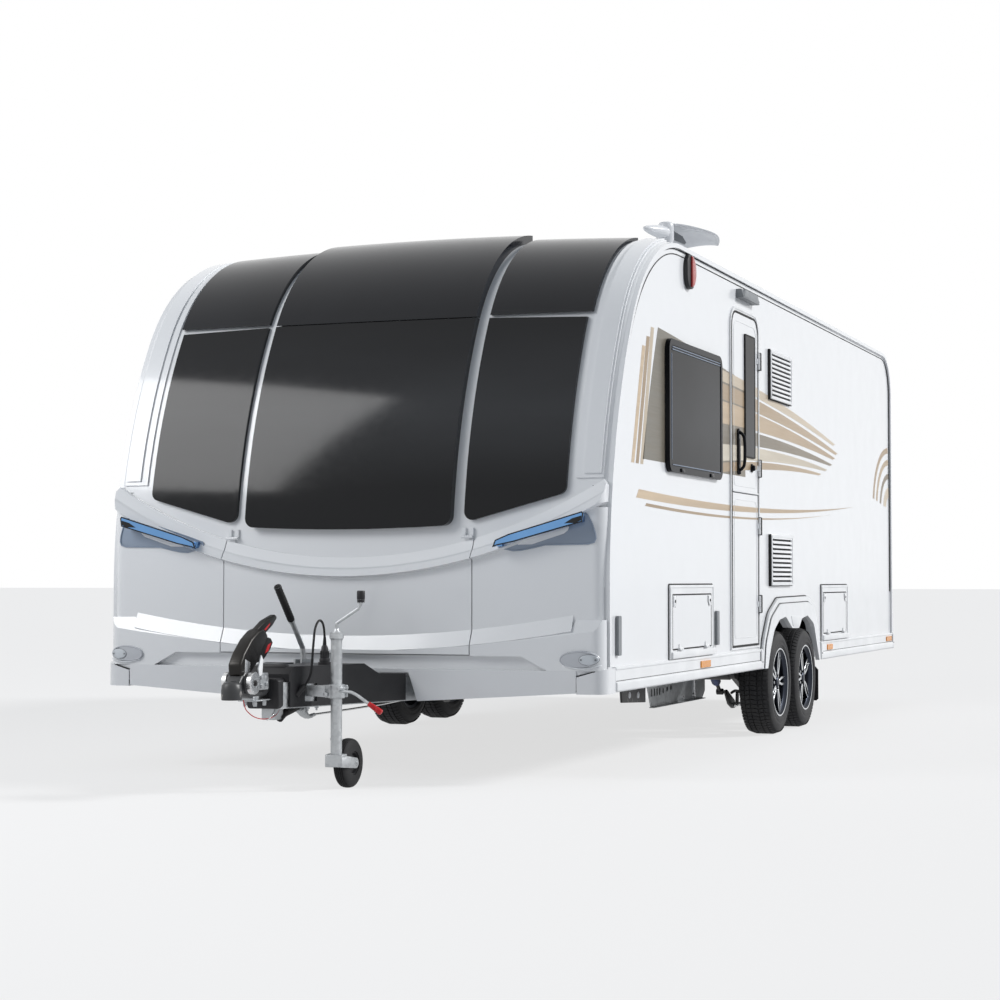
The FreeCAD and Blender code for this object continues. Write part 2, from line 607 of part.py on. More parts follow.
# ---- chassis and running gear -------------------------------------------
ARM_W, ARM_BOTTOM = 20, 345                        # half-width of a drawbar arm
ARM_END = (RAIL_X - 60, RAIL_FRONT_Y + 60)         # x, y of its centre line's rear end


def drawbar_half(y, out):
    """Distance of an arm's centre line from mid-width, moved out by a distance."""
    slope = (ARM_END[0] - DRAW_TIP_X) / (ARM_END[1] - DRAW_TIP_Y)
    return DRAW_TIP_X + slope * (y - DRAW_TIP_Y) + out


def drawbar_arms():
    arms = []
    for side in (1, -1):
        plan = [(side * drawbar_half(y, out), y) for y, out in (
            (DRAW_TIP_Y, -ARM_W), (DRAW_TIP_Y, ARM_W), (ARM_END[1], ARM_W), (ARM_END[1], -ARM_W))]
        arms.append(prism(plan, "Z", ARM_BOTTOM, RAIL_TOP - ARM_BOTTOM))
    return arms


def chassis():
    rails = []
    z0, lo, hi = RAIL_TOP - RAIL_H, ARM_BOTTOM, RAIL_TOP
    for side in (1, -1):
        x = side * RAIL_X
        channel = box(x, x - side * 50, RAIL_FRONT_Y, RAIL_REAR_Y, z0, RAIL_TOP).cut(
            box(x - side * SHEET, x - side * 60, RAIL_FRONT_Y - 1, RAIL_REAR_Y + 1,
                z0 + SHEET, RAIL_TOP - SHEET))
        holes = [rod(32, (x - side * 60, y, z0 + RAIL_H / 2), (x + side * 10, y, z0 + RAIL_H / 2))
                 for y in range(-1500, 3700, 260) if not 60 < y < 1060]
        rails.append(channel.cut(holes).cut(axle_tubes(0)))
    tie = box(-RAIL_X + SHEET, RAIL_X - SHEET, 3650, 3700, lo, hi - SHEET)
    save("chassis_rails", fuse(tie, *rails))
    arms, tip_x = drawbar_arms(), DRAW_TIP_X + ARM_W
    arms.append(box(-tip_x, tip_x, DRAW_TIP_Y, DRAW_TIP_Y + 120, lo + 40, hi))
    arms.append(box(-400, 400, -2760, -2720, lo + 20, hi))
    arms.append(box(-RAIL_X + SHEET, RAIL_X - SHEET, RAIL_FRONT_Y + 40, RAIL_FRONT_Y + 90, lo, hi - 6))
    arms += handbrake_bracket()
    save("drawbar_frame", fuse(*arms).cut(rails))


def axle_tubes(grow):
    x = HUB_X - 33
    return [rod(AXLE_R + grow, (-x, y - ARM_DY, WHEEL_R + ARM_DZ), (x, y - ARM_DY, WHEEL_R + ARM_DZ))
            for y in WHEEL_Y]


def axles():
    assemblies = []
    for y, beam in zip(WHEEL_Y, axle_tubes(0)):
        parts = [beam]
        for side in (1, -1):
            a = (side * (HUB_X - 33), y - ARM_DY, WHEEL_R + ARM_DZ)
            parts.append(rod(40, (a[0] - side * 40, a[1], a[2]), (side * HUB_X, a[1], a[2])))
            arm = prism([(y - ARM_DY - 30, WHEEL_R + ARM_DZ - 25), (y - ARM_DY + 5, WHEEL_R + ARM_DZ + 38),
                         (y + 30, WHEEL_R + 30), (y + 10, WHEEL_R - 35)], "X", side * (HUB_X - 28), side * 28)
            drum = rod(HUB_R, (side * HUB_X, y, WHEEL_R), (side * (HUB_X + 82), y, WHEEL_R))
            spindle = rod(SPINDLE_R, (side * (HUB_X + 82), y, WHEEL_R), (side * (HUB_X + 152), y, WHEEL_R))
            parts += [arm, drum, spindle]
        assemblies.append(fuse(*parts))
    save("axles", Part.makeCompound(assemblies))


def tyre_shape(side, y):
    """Tyre as a ring turned about its axle."""
    x1, w, r, b = TYRE_OUT_X, TYRE_W, WHEEL_R, RIM_R
    pts = [(x1 - w + 8, b), (x1 - 8, b), (x1, b + 25), (x1 - 2, r - 50), (x1 - 22, r - 6),
           (x1 - 40, r), (x1 - w + 40, r), (x1 - w + 22, r - 6), (x1 - w + 2, r - 50), (x1 - w, b + 25)]
    return turned(pts, side, y, WHEEL_R)


def turned(points, side, y, z):
    """Turn an (x, radius) outline about an axle at (y, z)."""
    corners = [V(side * px, y, z + pr) for px, pr in points]
    face = Part.Face(Part.makePolygon(corners + corners[:1]))
    return face.revolve(V(0, y, z), X, 360)


def rim_shape(side, y):
    x1, w, b = TYRE_OUT_X, TYRE_W, RIM_R
    barrel = turned([(x1 - w + 8, b), (x1 - 8, b), (x1 - 8, b - 10), (x1 - 60, b - 22),
                     (x1 - w + 8, b - 14)], side, y, WHEEL_R)
    hub = rod(70, (side * (HUB_X + 87), y, WHEEL_R), (side * (x1 - 22), y, WHEEL_R))
    bore = rod(SPINDLE_R + PIN_PLAY, (side * HUB_X, y, WHEEL_R), (side * (HUB_X + 154), y, WHEEL_R))
    spokes = []
    for i in range(5):
        for tilt in (-9, 9):
            a = math.radians(90 + 72 * i + tilt)
            bar = box(side * (x1 - 50), side * (x1 - 22), -9, 9, 40, b - 14)
            bar.rotate(V(0, 0, 0), X, 90 - math.degrees(a))
            bar.translate(V(0, y, WHEEL_R))
            spokes.append(bar)
    return fuse(barrel, hub, *spokes).cut(bore)


def wheels():
    for place, y in zip(("front", "rear"), WHEEL_Y):
        for side, hand in ((1, "nearside"), (-1, "offside")):
            save(f"tyre_{place}_{hand}", tyre_shape(side, y))
            save(f"wheel_{place}_{hand}", rim_shape(side, y))


# ---- corner steadies ----------------------------------------------------
STEADIES = [("nearside_front", 1, -2560, 1), ("offside_front", -1, -2560, 1),
            ("nearside_rear", 1, 3700, -1), ("offside_rear", -1, 3700, -1)]
STEADY_X, STEADY_Z, STEADY_L = 900, 425, 440


def steadies():
    """Each stowed leg lies towards mid-length and drops about its outer pin."""
    brackets = []
    for name, side, y, inward in STEADIES:
        x = side * STEADY_X
        pin = rod(6, (x - 40, y, STEADY_Z), (x + 40, y, STEADY_Z))
        cheeks = [box(x + s * 30, x + s * 40, y - 25, y + 25, STEADY_Z - 20, BODY_BOTTOM) for s in (1, -1)]
        brackets.append(fuse(pin, *cheeks))
        leg = fuse(box(x - 25, x + 25, y - inward * 15, y + inward * STEADY_L, STEADY_Z - 20, STEADY_Z + 12),
                   box(x - 45, x + 45, y + inward * (STEADY_L - 90), y + inward * STEADY_L,
                       STEADY_Z - 26, STEADY_Z - 20))
        save("steady_" + name, leg.cut(rod(6 + PIN_PLAY, (x - 60, y, STEADY_Z), (x + 60, y, STEADY_Z))))
    save("steady_brackets", Part.makeCompound(brackets))


# ---- hitch --------------------------------------------------------------
BALL_Y, BALL_Z, BALL_R = -3925, 430, 25
LEVER_X, LEVER_PIVOT = -60, (-3138, 505)           # y, z of the handbrake pin
TOW_HANDLE_PIVOT = (-3850, 490)                    # y, z


DISC_X, DISC_AT = 48, (-3846, 462)                 # friction discs beside the head: y, z
HANDLE_SIDE = [(-65, 30), (-55, 81), (0, 121), (87, 178), (172, 207), (293, 248), (307, 229),
               (219, 175), (160, 110), (107, 52), (50, 24)]         # y, z from the handle's pin
HANDLE_TAB = [(150, 78), (172, 160), (212, 158), (234, 132), (196, 104)]
LEVER_KNEE, LEVER_TIP = (-12, 80), (-260, 350)     # y, z from the lever's pin


def hitch():
    neck = rod(24, (0, -3860, BALL_Z), (0, DRAW_TIP_Y, BALL_Z))
    head = rounded(-40, 40, NOSE_Y, -3820, 395, 470, 14, "X")
    socket = rod(BALL_R + 0.2, (0, BALL_Y, 300), (0, BALL_Y, 440))
    y, z = TOW_HANDLE_PIVOT
    post = box(-14, 14, y - 13, y + 13, 460, z + 12)
    pin = rod(6, (-34, y, z), (34, y, z))
    discs = []
    for side in (1, -1):
        discs.append(rod(45, (side * DISC_X, *DISC_AT), (side * (DISC_X + 20), *DISC_AT)))
        discs.append(rod(14, (side * 30, DISC_AT[0], 448), (side * (DISC_X + 2), DISC_AT[0], 448)))
    save("coupling_head", fuse(head, neck, post, pin, *discs).cut(socket))
    cheeks = [box(s * 18, s * 32, y - 14, y + 14, z - 14, z + 40) for s in (1, -1)]
    side = [(y + a, z + b) for a, b in HANDLE_SIDE]
    tab = [(y + a, z + b) for a, b in HANDLE_TAB]
    grip = fuse(*cheeks, prism(side, "X", -32, 64), prism(tab, "X", 4, 28))
    save("coupling_handle", grip.cut(rod(6 + PIN_PLAY, (-60, y, z), (60, y, z))))
    y, z = LEVER_PIVOT
    x = LEVER_X
    knee, tip = (x, y + LEVER_KNEE[0], z + LEVER_KNEE[1]), (x, y + LEVER_TIP[0], z + LEVER_TIP[1])
    grip_y, grip_z = [k + 0.45 * (t - k) for k, t in zip(knee[1:], tip[1:])]
    lever = fuse(rod(11, (x, y, z), knee), Part.makeSphere(11, V(*knee)), rod(11, knee, tip),
                 rod(15, (x, grip_y, grip_z), tip), rod(16, (x - 9, y, z), (x + 9, y, z)))
    save("handbrake_lever", lever.cut(rod(7 + PIN_PLAY, (x - 30, y, z), (x + 30, y, z))))


def handbrake_bracket():
    """Two cheeks with the lever's pin, on a plate between the drawbar's arms."""
    x, (y, z) = LEVER_X, LEVER_PIVOT
    low = RAIL_TOP - 16
    cheeks = [box(x + s * 12, x + s * 20, y - 60, y + 60, low, z + 30) for s in (1, -1)]
    return cheeks + [box(-170, 170, y - 40, y + 60, low, low + 8), rod(7, (x - 20, y, z), (x + 20, y, z))]


COVER_Y, COVER_T = (-3590, -2890), 6               # drawbar cover and its wall
COVER_SIDE = [(-3590, 350), (-3590, 488), (-3562, 520), (-3150, 520), (-3060, 474),
              (-2890, 468), (-2890, 350)]          # y, z
PLUG_AT = (135, -3335)                             # x, y of the parked plug
PLUG_Z = (531, 612)
GLAND = ((104, -3543, 398), (135, -3527, 440))     # moulded outlet in the cover's side


def cover_block(out, lower, y0, y1):
    """Cover as a solid, from its plan and its side."""
    a, b = drawbar_half(y0, out), drawbar_half(y1, out)
    plan = prism([(-a, y0), (a, y0), (b, y1), (-b, y1)], "Z", 300, 300)
    side = prism(COVER_SIDE, "X", -600, 1200)
    side.translate(Z * -lower)
    return plan.common(side)


def drawbar_cover():
    y0, y1 = COVER_Y
    outer = cover_block(32, 0, y0, y1)
    inner = cover_block(32 - COVER_T, COVER_T, y0 + COVER_T, y1 + 1)
    slot = box(LEVER_X - 30, LEVER_X + 30, LEVER_PIVOT[0] - 300, LEVER_PIVOT[0] + 90, 300, 600)
    clamp = box(80, 300, MAST_Y - 35, MAST_Y + 35, 370, 445)
    front = box(-200, 200, y0 - 1, y0 + COVER_T, 300, RAIL_TOP + 2)
    holder = rod(28, (*PLUG_AT, 512), (*PLUG_AT, PLUG_Z[0]))
    shell = outer.cut([inner, slot, clamp, front])
    save("drawbar_cover", fuse(shell, holder, rod(11, *GLAND).cut(drawbar_arms())))


# ---- cords --------------------------------------------------------------
LEAD_D = 10
LEAD = [GLAND[1], (156, -3516, 469), (154, -3497, 540), (150, -3477, 612), (147, -3457, 684),
        (141, -3396, 719), (135, -3335, 684), (*PLUG_AT, PLUG_Z[1])]
CABLE_D = 4
CABLE = [(30, -3545, 385), (30, -3548, 346), (31, -3581, 318), (33, -3636, 308), (34, -3692, 306),
         (36, -3748, 311), (37, -3802, 322), (38, -3850, 341), (37, -3882, 362), (35, -3890, 395)]


def cord(name, points, diameter):
    """Round cord along straight runs joined by tangent arcs."""
    pts = [V(*p) for p in points]
    edges, start, radii = [], pts[0], []
    for before, corner, after in zip(pts, pts[1:], pts[2:]):
        back, ahead = before - corner, after - corner
        reach = 0.45 * min(back.Length, ahead.Length)
        a, b = corner + back.normalize() * reach, corner + ahead.normalize() * reach
        turn = math.pi - back.getAngle(ahead)
        radii.append(reach / math.tan(turn / 2))
        top = corner + ((a + b) / 2 - corner).normalize() * (
            radii[-1] / math.cos(turn / 2) - radii[-1])
        edges += [Part.LineSegment(start, a).toShape(), Part.Arc(a, top, b).toShape()]
        start = b
    edges.append(Part.LineSegment(start, pts[-1]).toShape())
    path = Part.Wire(edges)
    ring = Part.Wire(Part.Circle(pts[0], pts[1] - pts[0], diameter / 2).toShape())
    solid = path.makePipeShell([ring], True, True)
    full = math.pi * diameter ** 2 / 4 * path.Length
    print(f"{name}: {path.Length:.0f} mm, least radius {min(radii):.0f}, "
          f"volume {solid.Volume / full:.4f} of section x length")
    save(name, solid)


def cords():
    cord("hitch_lead", LEAD, LEAD_D)
    cord("breakaway_cable", CABLE, CABLE_D)
    x, y = PLUG_AT
    low, high = PLUG_Z
    body = fuse(rod(24, (x, y, low), (x, y, low + 12)), rod(21, (x, y, low), (x, y, high - 26)),
                Part.makeCone(21, 11, 26, V(x, y, high - 26)))
    save("hitch_plug", body)


def jockey():
    x, y = MAST_X, MAST_Y
    arm_x = drawbar_half(y, 20)
    clamp = fuse(tube(MAST_R + 12, MAST_R + PIN_PLAY, (x, y, 385), (x, y, 445)),
                 box(arm_x - 4, x - MAST_R - 6, y - 25, y + 25, 390, 440))
    clamp = clamp.cut(drawbar_arms()).cut(rod(MAST_R + PIN_PLAY, (x, y, 300), (x, y, 500)))
    arm, end = (x + MAST_R + 8, y, 420), (x + 150, y, 402)
    clamp = fuse(clamp, rod(7, arm, end), rod(11, (x + 100, y, 410), end))
    save("jockey_clamp", clamp)
    crank = [(x, y, 660), (x, y, 700), (x + 100, y, 762), (x + 112, y, 784), (x + 112, y, 838)]
    mast = fuse(rod(MAST_R, (x, y, 150), (x, y, 640)), rod(MAST_R + 5, (x, y, 636), (x, y, 662)),
                *[rod(7, a, b) for a, b in zip(crank, crank[1:])],
                *[Part.makeSphere(7, V(*p)) for p in crank[1:-1]], rod(15, *crank[3:]))
    mast = mast.cut(rod(19 + PIN_PLAY, (x, y, 140), (x, y, 230)))
    save("jockey_mast", mast)
    wy, wz = y + JOCKEY_TRAIL, JOCKEY_R
    fork = [rod(19, (x, y, 96), (x, y, 220)), box(x - 36, x + 36, y - 24, y + 24, 96, 140)]
    for s in (1, -1):
        fork.append(box(x + s * 30, x + s * 36, y - 24, wy + 18, wz - 18, 132))
    axle = rod(8, (x - 36, wy, wz), (x + 36, wy, wz))
    clear = rod(JOCKEY_R + 8, (x - 29, wy, wz), (x + 29, wy, wz))
    save("jockey_fork", fuse(*fork).cut(clear).fuse(axle).removeSplitter())
    wheel = rod(JOCKEY_R, (x - 24, wy, wz), (x + 24, wy, wz))
    wheel = wheel.makeFillet(14, [e for e in wheel.Edges if e.Length > 500 and e.isClosed()])
    save("jockey_wheel", wheel.cut(rod(8 + PIN_PLAY, (x - 50, wy, wz), (x + 50, wy, wz))))


for build in (body_panels, front_glass, front_mouldings, corner_columns, side_trim, windows, side_details,
              door, roof_parts, rear_parts, chassis, axles, wheels, steadies, hitch,
              drawbar_cover, jockey, cords):
    build()
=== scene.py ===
"""Finish, trim and fittings of the twin-axle travel caravan, in metres.

X is to the nearside (the door side), -Y is towards the hitch, +Z is up.
"""
import bmesh
import bpy
import json
import math
from contextlib import contextmanager
from mathutils import Matrix, Vector

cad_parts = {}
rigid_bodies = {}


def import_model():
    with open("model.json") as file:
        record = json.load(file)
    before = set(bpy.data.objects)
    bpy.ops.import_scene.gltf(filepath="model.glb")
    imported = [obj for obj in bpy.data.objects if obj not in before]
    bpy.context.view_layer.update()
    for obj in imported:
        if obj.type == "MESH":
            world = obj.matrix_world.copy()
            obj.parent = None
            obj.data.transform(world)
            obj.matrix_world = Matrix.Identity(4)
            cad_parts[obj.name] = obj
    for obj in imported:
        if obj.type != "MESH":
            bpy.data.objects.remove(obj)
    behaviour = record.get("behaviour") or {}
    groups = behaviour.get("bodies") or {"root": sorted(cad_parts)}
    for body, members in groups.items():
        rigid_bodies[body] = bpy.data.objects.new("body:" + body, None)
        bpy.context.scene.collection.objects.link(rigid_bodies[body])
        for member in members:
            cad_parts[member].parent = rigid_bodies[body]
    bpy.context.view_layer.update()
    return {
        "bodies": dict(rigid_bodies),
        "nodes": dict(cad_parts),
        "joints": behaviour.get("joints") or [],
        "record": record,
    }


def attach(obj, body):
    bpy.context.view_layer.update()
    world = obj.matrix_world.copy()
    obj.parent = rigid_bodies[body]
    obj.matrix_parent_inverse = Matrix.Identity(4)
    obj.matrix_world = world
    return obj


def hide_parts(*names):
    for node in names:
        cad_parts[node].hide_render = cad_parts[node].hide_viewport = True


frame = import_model()
nodes = frame["nodes"]
AXIS = {"X": Vector((1, 0, 0)), "Y": Vector((0, 1, 0)), "Z": Vector((0, 0, 1))}
BODY = "caravan"                                    # the body that all fixed pieces ride on
STEADY_BODY = {"nearside_front": "steady_nf", "offside_front": "steady_of", "nearside_rear": "steady_nr",
               "offside_rear": "steady_or"}
SMOOTH_BELOW = math.radians(35)                     # shallower edges than this are shaded smooth
MERGE_WITHIN, SHORTEST_EDGE = .00002, .00001        # when a mesh is cleaned


# ---- camera, light and floor ----------------------------------------------
CAMERA_AT = (4.1, -11.683, .882)
CAMERA_TURN, CAMERA_TILT, CAMERA_LENS = 20.74, 2.139, 77.2  # degrees, degrees, mm
SUN_TURN, SUN_ENERGY, SUN_WIDTH = (58, 0, 118), 2.85, 12    # degrees, W/m2, degrees
LAMP_AT, LAMP_TURN, LAMP_ENERGY, LAMP_SIZE = (-5.5, -8.0, 6.0), (56, 0, -40), 400, 4
SKY_COLOUR, SKY_STRENGTH = (.76, .87, 1.0, 1), .28
FLOOR_SIZE, FLOOR_GREY, FLOOR_GLOW = 400, (.62, .62, .63, 1), .7


def in_radians(*degrees):
    """Several angles at once."""
    return tuple(math.radians(angle) for angle in degrees)


def add_camera():
    """Low three-quarter view from the front nearside, with a long lens."""
    bpy.ops.object.camera_add(location=CAMERA_AT,
                              rotation=in_radians(90 + CAMERA_TILT, 0, CAMERA_TURN))
    camera = bpy.context.object
    camera.data.lens = CAMERA_LENS
    bpy.context.scene.camera = camera


def add_light():
    """A sun on the nearside from behind, a soft lamp at the offside front and a pale sky."""
    bpy.context.scene.view_settings.view_transform = "Standard"
    bpy.ops.object.light_add(type="SUN", rotation=in_radians(*SUN_TURN))
    sun = bpy.context.object.data
    sun.energy, sun.angle = SUN_ENERGY, math.radians(SUN_WIDTH)
    bpy.ops.object.light_add(type="AREA", location=LAMP_AT, rotation=in_radians(*LAMP_TURN))
    lamp = bpy.context.object.data
    lamp.energy, lamp.size = LAMP_ENERGY, LAMP_SIZE
    sky = bpy.data.worlds.new("sky")
    bpy.context.scene.world = sky
    sky.use_nodes = True
    tree = sky.node_tree
    light, white = tree.nodes["Background"], tree.nodes.new("ShaderNodeBackground")
    light.inputs["Color"].default_value = SKY_COLOUR
    light.inputs["Strength"].default_value = SKY_STRENGTH
    white.inputs["Color"].default_value = (1, 1, 1, 1)
    blend = tree.nodes.new("ShaderNodeMixShader")
    tree.links.new(seen_directly(tree), blend.inputs[0])
    tree.links.new(light.outputs[0], blend.inputs[1])
    tree.links.new(white.outputs[0], blend.inputs[2])
    tree.links.new(blend.outputs[0], tree.nodes["World Output"].inputs[0])


def seen_directly(tree):
    """1 for what the camera sees, straight or in metal and glass; 0 for light on the object."""
    seen = tree.nodes.new("ShaderNodeLightPath")
    factor = seen.outputs["Is Camera Ray"]
    for other in ("Is Glossy Ray", "Is Transmission Ray"):
        most = tree.nodes.new("ShaderNodeMath")
        most.operation = "MAXIMUM"
        tree.links.new(factor, most.inputs[0])
        tree.links.new(seen.outputs[other], most.inputs[1])
        factor = most.outputs[0]
    return factor


def add_floor():
    """Pale floor, whitened towards the background but still holding the shadow."""
    bpy.ops.mesh.primitive_plane_add(size=FLOOR_SIZE)
    floor = bpy.context.object
    floor.name = "floor_plane"
    paint = bpy.data.materials.new("pale floor")
    paint.use_nodes = True
    tree = paint.node_tree
    shader = tree.nodes["Principled BSDF"]
    shader.inputs["Base Color"].default_value = FLOOR_GREY
    shader.inputs["Roughness"].default_value = .9
    shader.inputs["Specular IOR Level"].default_value = .1
    part = tree.nodes.new("ShaderNodeMath")
    part.operation = "MULTIPLY"
    part.inputs[1].default_value = FLOOR_GLOW
    glow, blend = tree.nodes.new("ShaderNodeEmission"), tree.nodes.new("ShaderNodeMixShader")
    tree.links.new(seen_directly(tree), part.inputs[0])
    tree.links.new(part.outputs[0], blend.inputs[0])
    tree.links.new(shader.outputs[0], blend.inputs[1])
    tree.links.new(glow.outputs[0], blend.inputs[2])
    tree.links.new(blend.outputs[0], tree.nodes["Material Output"].inputs[0])
    floor.data.materials.append(paint)


add_camera()
add_light()
add_floor()


# ---- finishes -------------------------------------------------------------
class Wired:
    """A shader value; arithmetic written on it adds the Math nodes."""

    def __init__(self, finish, socket):
        self.finish, self.socket = finish, socket

    def sum(self, operation, a, b):
        return self.finish.node("ShaderNodeMath", {"operation": operation}, {0: a, 1: b})

    def __add__(self, other):
        return self.sum("ADD", self, other)

    def __radd__(self, other):
        return self.sum("ADD", other, self)

    def __mul__(self, other):
        return self.sum("MULTIPLY", self, other)


class Finish:
    """A material built from one Principled shader and the nodes that feed it."""

    def __init__(self, name, colour, roughness, **constants):
        self.material = bpy.data.materials.new(name)
        self.material.use_nodes = True
        self.tree = self.material.node_tree
        self.shader = self.tree.nodes["Principled BSDF"]
        self.colour = (*colour, 1)
        self.set("Base Color", self.colour)
        self.set("Roughness", roughness)
        for socket, value in constants.items():
            self.set(socket.replace("_", " "), value)

    def set(self, socket, value):
        """Give a socket of the shader itself a value or a link."""
        self.feed(self.shader.inputs[socket], value)

    def feed(self, socket, value):
        if isinstance(value, Wired):
            self.tree.links.new(value.socket, socket)
        else:
            socket.default_value = value

    def node(self, kind, settings, inputs, output=0):
        """One node: its settings first, then the values or links of its sockets."""
        made = self.tree.nodes.new(kind)
        for key, value in settings.items():
            setattr(made, key, value)
        for key, value in inputs.items():
            self.feed(made.inputs[key], value)
        return Wired(self, made.outputs[output])

    def spot(self):
        """A point's place in the object's own coordinates."""
        return self.node("ShaderNodeTexCoord", {}, {}, 3)

    def place(self, stretch=(1, 1, 1)):
        return self.node("ShaderNodeMapping", {}, {"Vector": self.spot(), "Scale": stretch})

    def along(self, axis):
        return self.node("ShaderNodeSeparateXYZ", {}, {0: self.spot()}, "XYZ".index(axis))

    def noise(self, scale, detail=2, stretch=(1, 1, 1)):
        return self.node("ShaderNodeTexNoise", {}, {"Vector": self.place(stretch), "Scale": scale,
                                                    "Detail": detail})

    def cells(self, scale, output=0):
        """Crystal cells: their distances, or output 1, a colour for each."""
        return self.node("ShaderNodeTexVoronoi", {}, {"Vector": self.place(), "Scale": scale}, output)

    def spread(self, value, low, high, start=0.0, end=1.0):
        """Maps start..end of a value to low..high, held beyond the ends."""
        return self.node("ShaderNodeMapRange", {}, {0: value, 1: start, 2: end, 3: low, 4: high})

    def mix(self, factor, a, b):
        return self.node("ShaderNodeMix", {"data_type": "RGBA"},
                         {0: factor, 6: a if isinstance(a, Wired) else (*a[:3], 1),
                          7: b if isinstance(b, Wired) else (*b[:3], 1)}, 2)

    def shade(self, factor, colour):
        """Lets the base colour go to another colour by a factor."""
        self.set("Base Color", self.mix(factor, self.colour, colour))

    def bump(self, height, strength, distance=.001):
        """Relief by shading only, its full depth given in metres."""
        self.set("Normal", self.node("ShaderNodeBump", {}, {"Strength": strength, "Distance": distance,
                                                            "Height": height}))


def gloss_white(name, colour=(.8, .81, .825)):
    """Painted sheet: a faint ripple, and a little road film near the bottom."""
    f = Finish(name, colour, .22, Coat_Weight=.35, Coat_Roughness=.06)
    film = f.noise(1.7, 4) * f.spread(f.along("Z"), .5, .06, .35, 1.1)
    f.shade(film, (.66, .655, .64))
    f.set("Roughness", f.spread(f.noise(5, 3), .16, .3))
    f.bump(f.noise(9, 1), .05, .002)
    return f


def satin(name, colour, roughness=.42, grain=900, strength=.25):
    """Moulded plastic with a fine leather-like grain."""
    f = Finish(name, colour, roughness, Specular_IOR_Level=.3)
    f.shade(f.spread(f.noise(6, 4), 0, .35, .4, .8), tuple(min(1, c * 1.5 + .02) for c in colour))
    f.set("Roughness", f.spread(f.noise(14, 3), roughness - .08, roughness + .12))
    f.bump(f.cells(grain), strength, .0004)
    return f


def tinted_acrylic(name, gloss=.22):
    """Dark tinted pane with a paler band at mid-height, a painted reflection."""
    f = Finish(name, (.006, .0065, .008), .1, IOR=1.49, Specular_IOR_Level=gloss)
    height = f.along("Z")
    band = f.spread(height, 0, 1, 1.3, 1.62) * f.spread(height, 1, 0, 1.68, 2.12)
    wisp = f.spread(f.noise(1.1, 3, (.5, 1, 1.6)), .25, 1.0, .3, .75)
    # The paler band is a painted reflection.
    f.shade(band * wisp, (.04, .042, .046))
    f.set("Roughness", f.spread(f.noise(30, 2), .07, .14))
    return f


def gloss_black(name, gloss=.25):
    """Deep black, clouded a little."""
    f = Finish(name, (.006, .007, .01), .14, Specular_IOR_Level=gloss)
    f.shade(f.spread(f.noise(2.3, 3), 0, .5, .4, .8), (.014, .016, .021))
    f.set("Roughness", f.spread(f.noise(18, 2), .1, .2))
    return f


def galvanised(name):
    """Zinc-dipped steel: a crystal spangle, dull in patches."""
    f = Finish(name, (.37, .385, .4), .42, Metallic=.85)
    grey = f.node("ShaderNodeRGBToBW", {}, {0: f.cells(70, 1)})
    f.shade(f.spread(grey, 0, .6), (.58, .6, .61))
    f.set("Roughness", .28 + grey * .22 + f.noise(8, 4) * .12)
    f.bump(f.noise(120, 3), .12, .0006)
    return f


def rubber(name, colour=(.022, .022, .024)):
    """Dull rubber, greyed by dust in patches."""
    f = Finish(name, colour, .72, Specular_IOR_Level=.3)
    f.shade(f.spread(f.noise(7, 5), 0, .55, .45, .8), (.06, .058, .054))
    f.bump(f.noise(320, 3), .25, .0006)
    return f


def metal(name, colour, roughness, brushed=(1, 1, 1)):
    """Bare or dark metal, its shine uneven, drawn out where it is brushed."""
    f = Finish(name, colour, roughness, Metallic=1.0)
    f.shade(f.spread(f.noise(9, 3), 0, .4, .4, .8), tuple(c * .75 for c in colour))
    f.set("Roughness", f.spread(f.noise(160, 2, brushed), roughness * .7, roughness * 1.5))
    return f


def lens(name, colour, ridges):
    """Lamp lens: gloss over moulded ridges."""
    f = Finish(name, colour, .14, Coat_Weight=.3, Coat_Roughness=.05, Specular_IOR_Level=.3)
    wave = f.node("ShaderNodeMath", {"operation": "SINE"}, {0: f.along("Y") * (ridges * 2 * math.pi)})
    f.shade(f.spread(wave, 0, .35, -1, 1), tuple(c * .55 for c in colour))
    f.bump(wave, .35, .001)
    return f


def painted(name, colour):
    """Brushed-on chassis paint, rubbed through in places."""
    f = Finish(name, colour, .38)
    f.shade(f.spread(f.noise(23, 6), 0, 1, .62, .72), (.35, .33, .31))
    f.set("Roughness", f.spread(f.noise(11, 3), .28, .58))
    f.bump(f.noise(60, 4), .2, .0008)
    return f


def foil(name, light, dark, start, end):
    """Metallic film: it fades along the side, with fine brush marks."""
    f = Finish(name, light, .34, Metallic=.25, Specular_IOR_Level=.4)
    fade = f.spread(f.along("Y") + f.noise(2.0, 2) * .25, 0, 1, start, end)
    brushed = f.spread(f.noise(26, 4, (1, .06, 1)), 0, .35, .35, .75)
    f.set("Base Color", f.mix(brushed, f.mix(fade, f.colour, dark), tuple(c * .8 for c in dark)))
    f.set("Roughness", f.spread(f.noise(90, 2, (1, .05, 1)), .26, .42))
    return f


def board(name):
    """Varnished floor board with its grain along the caravan."""
    f = Finish(name, (.19, .165, .14), .75)
    f.shade(f.noise(4, 6, (1, 8, 1)), (.29, .26, .22))
    f.bump(f.noise(40, 4, (1, 10, 1)), .3, .001)
    return f


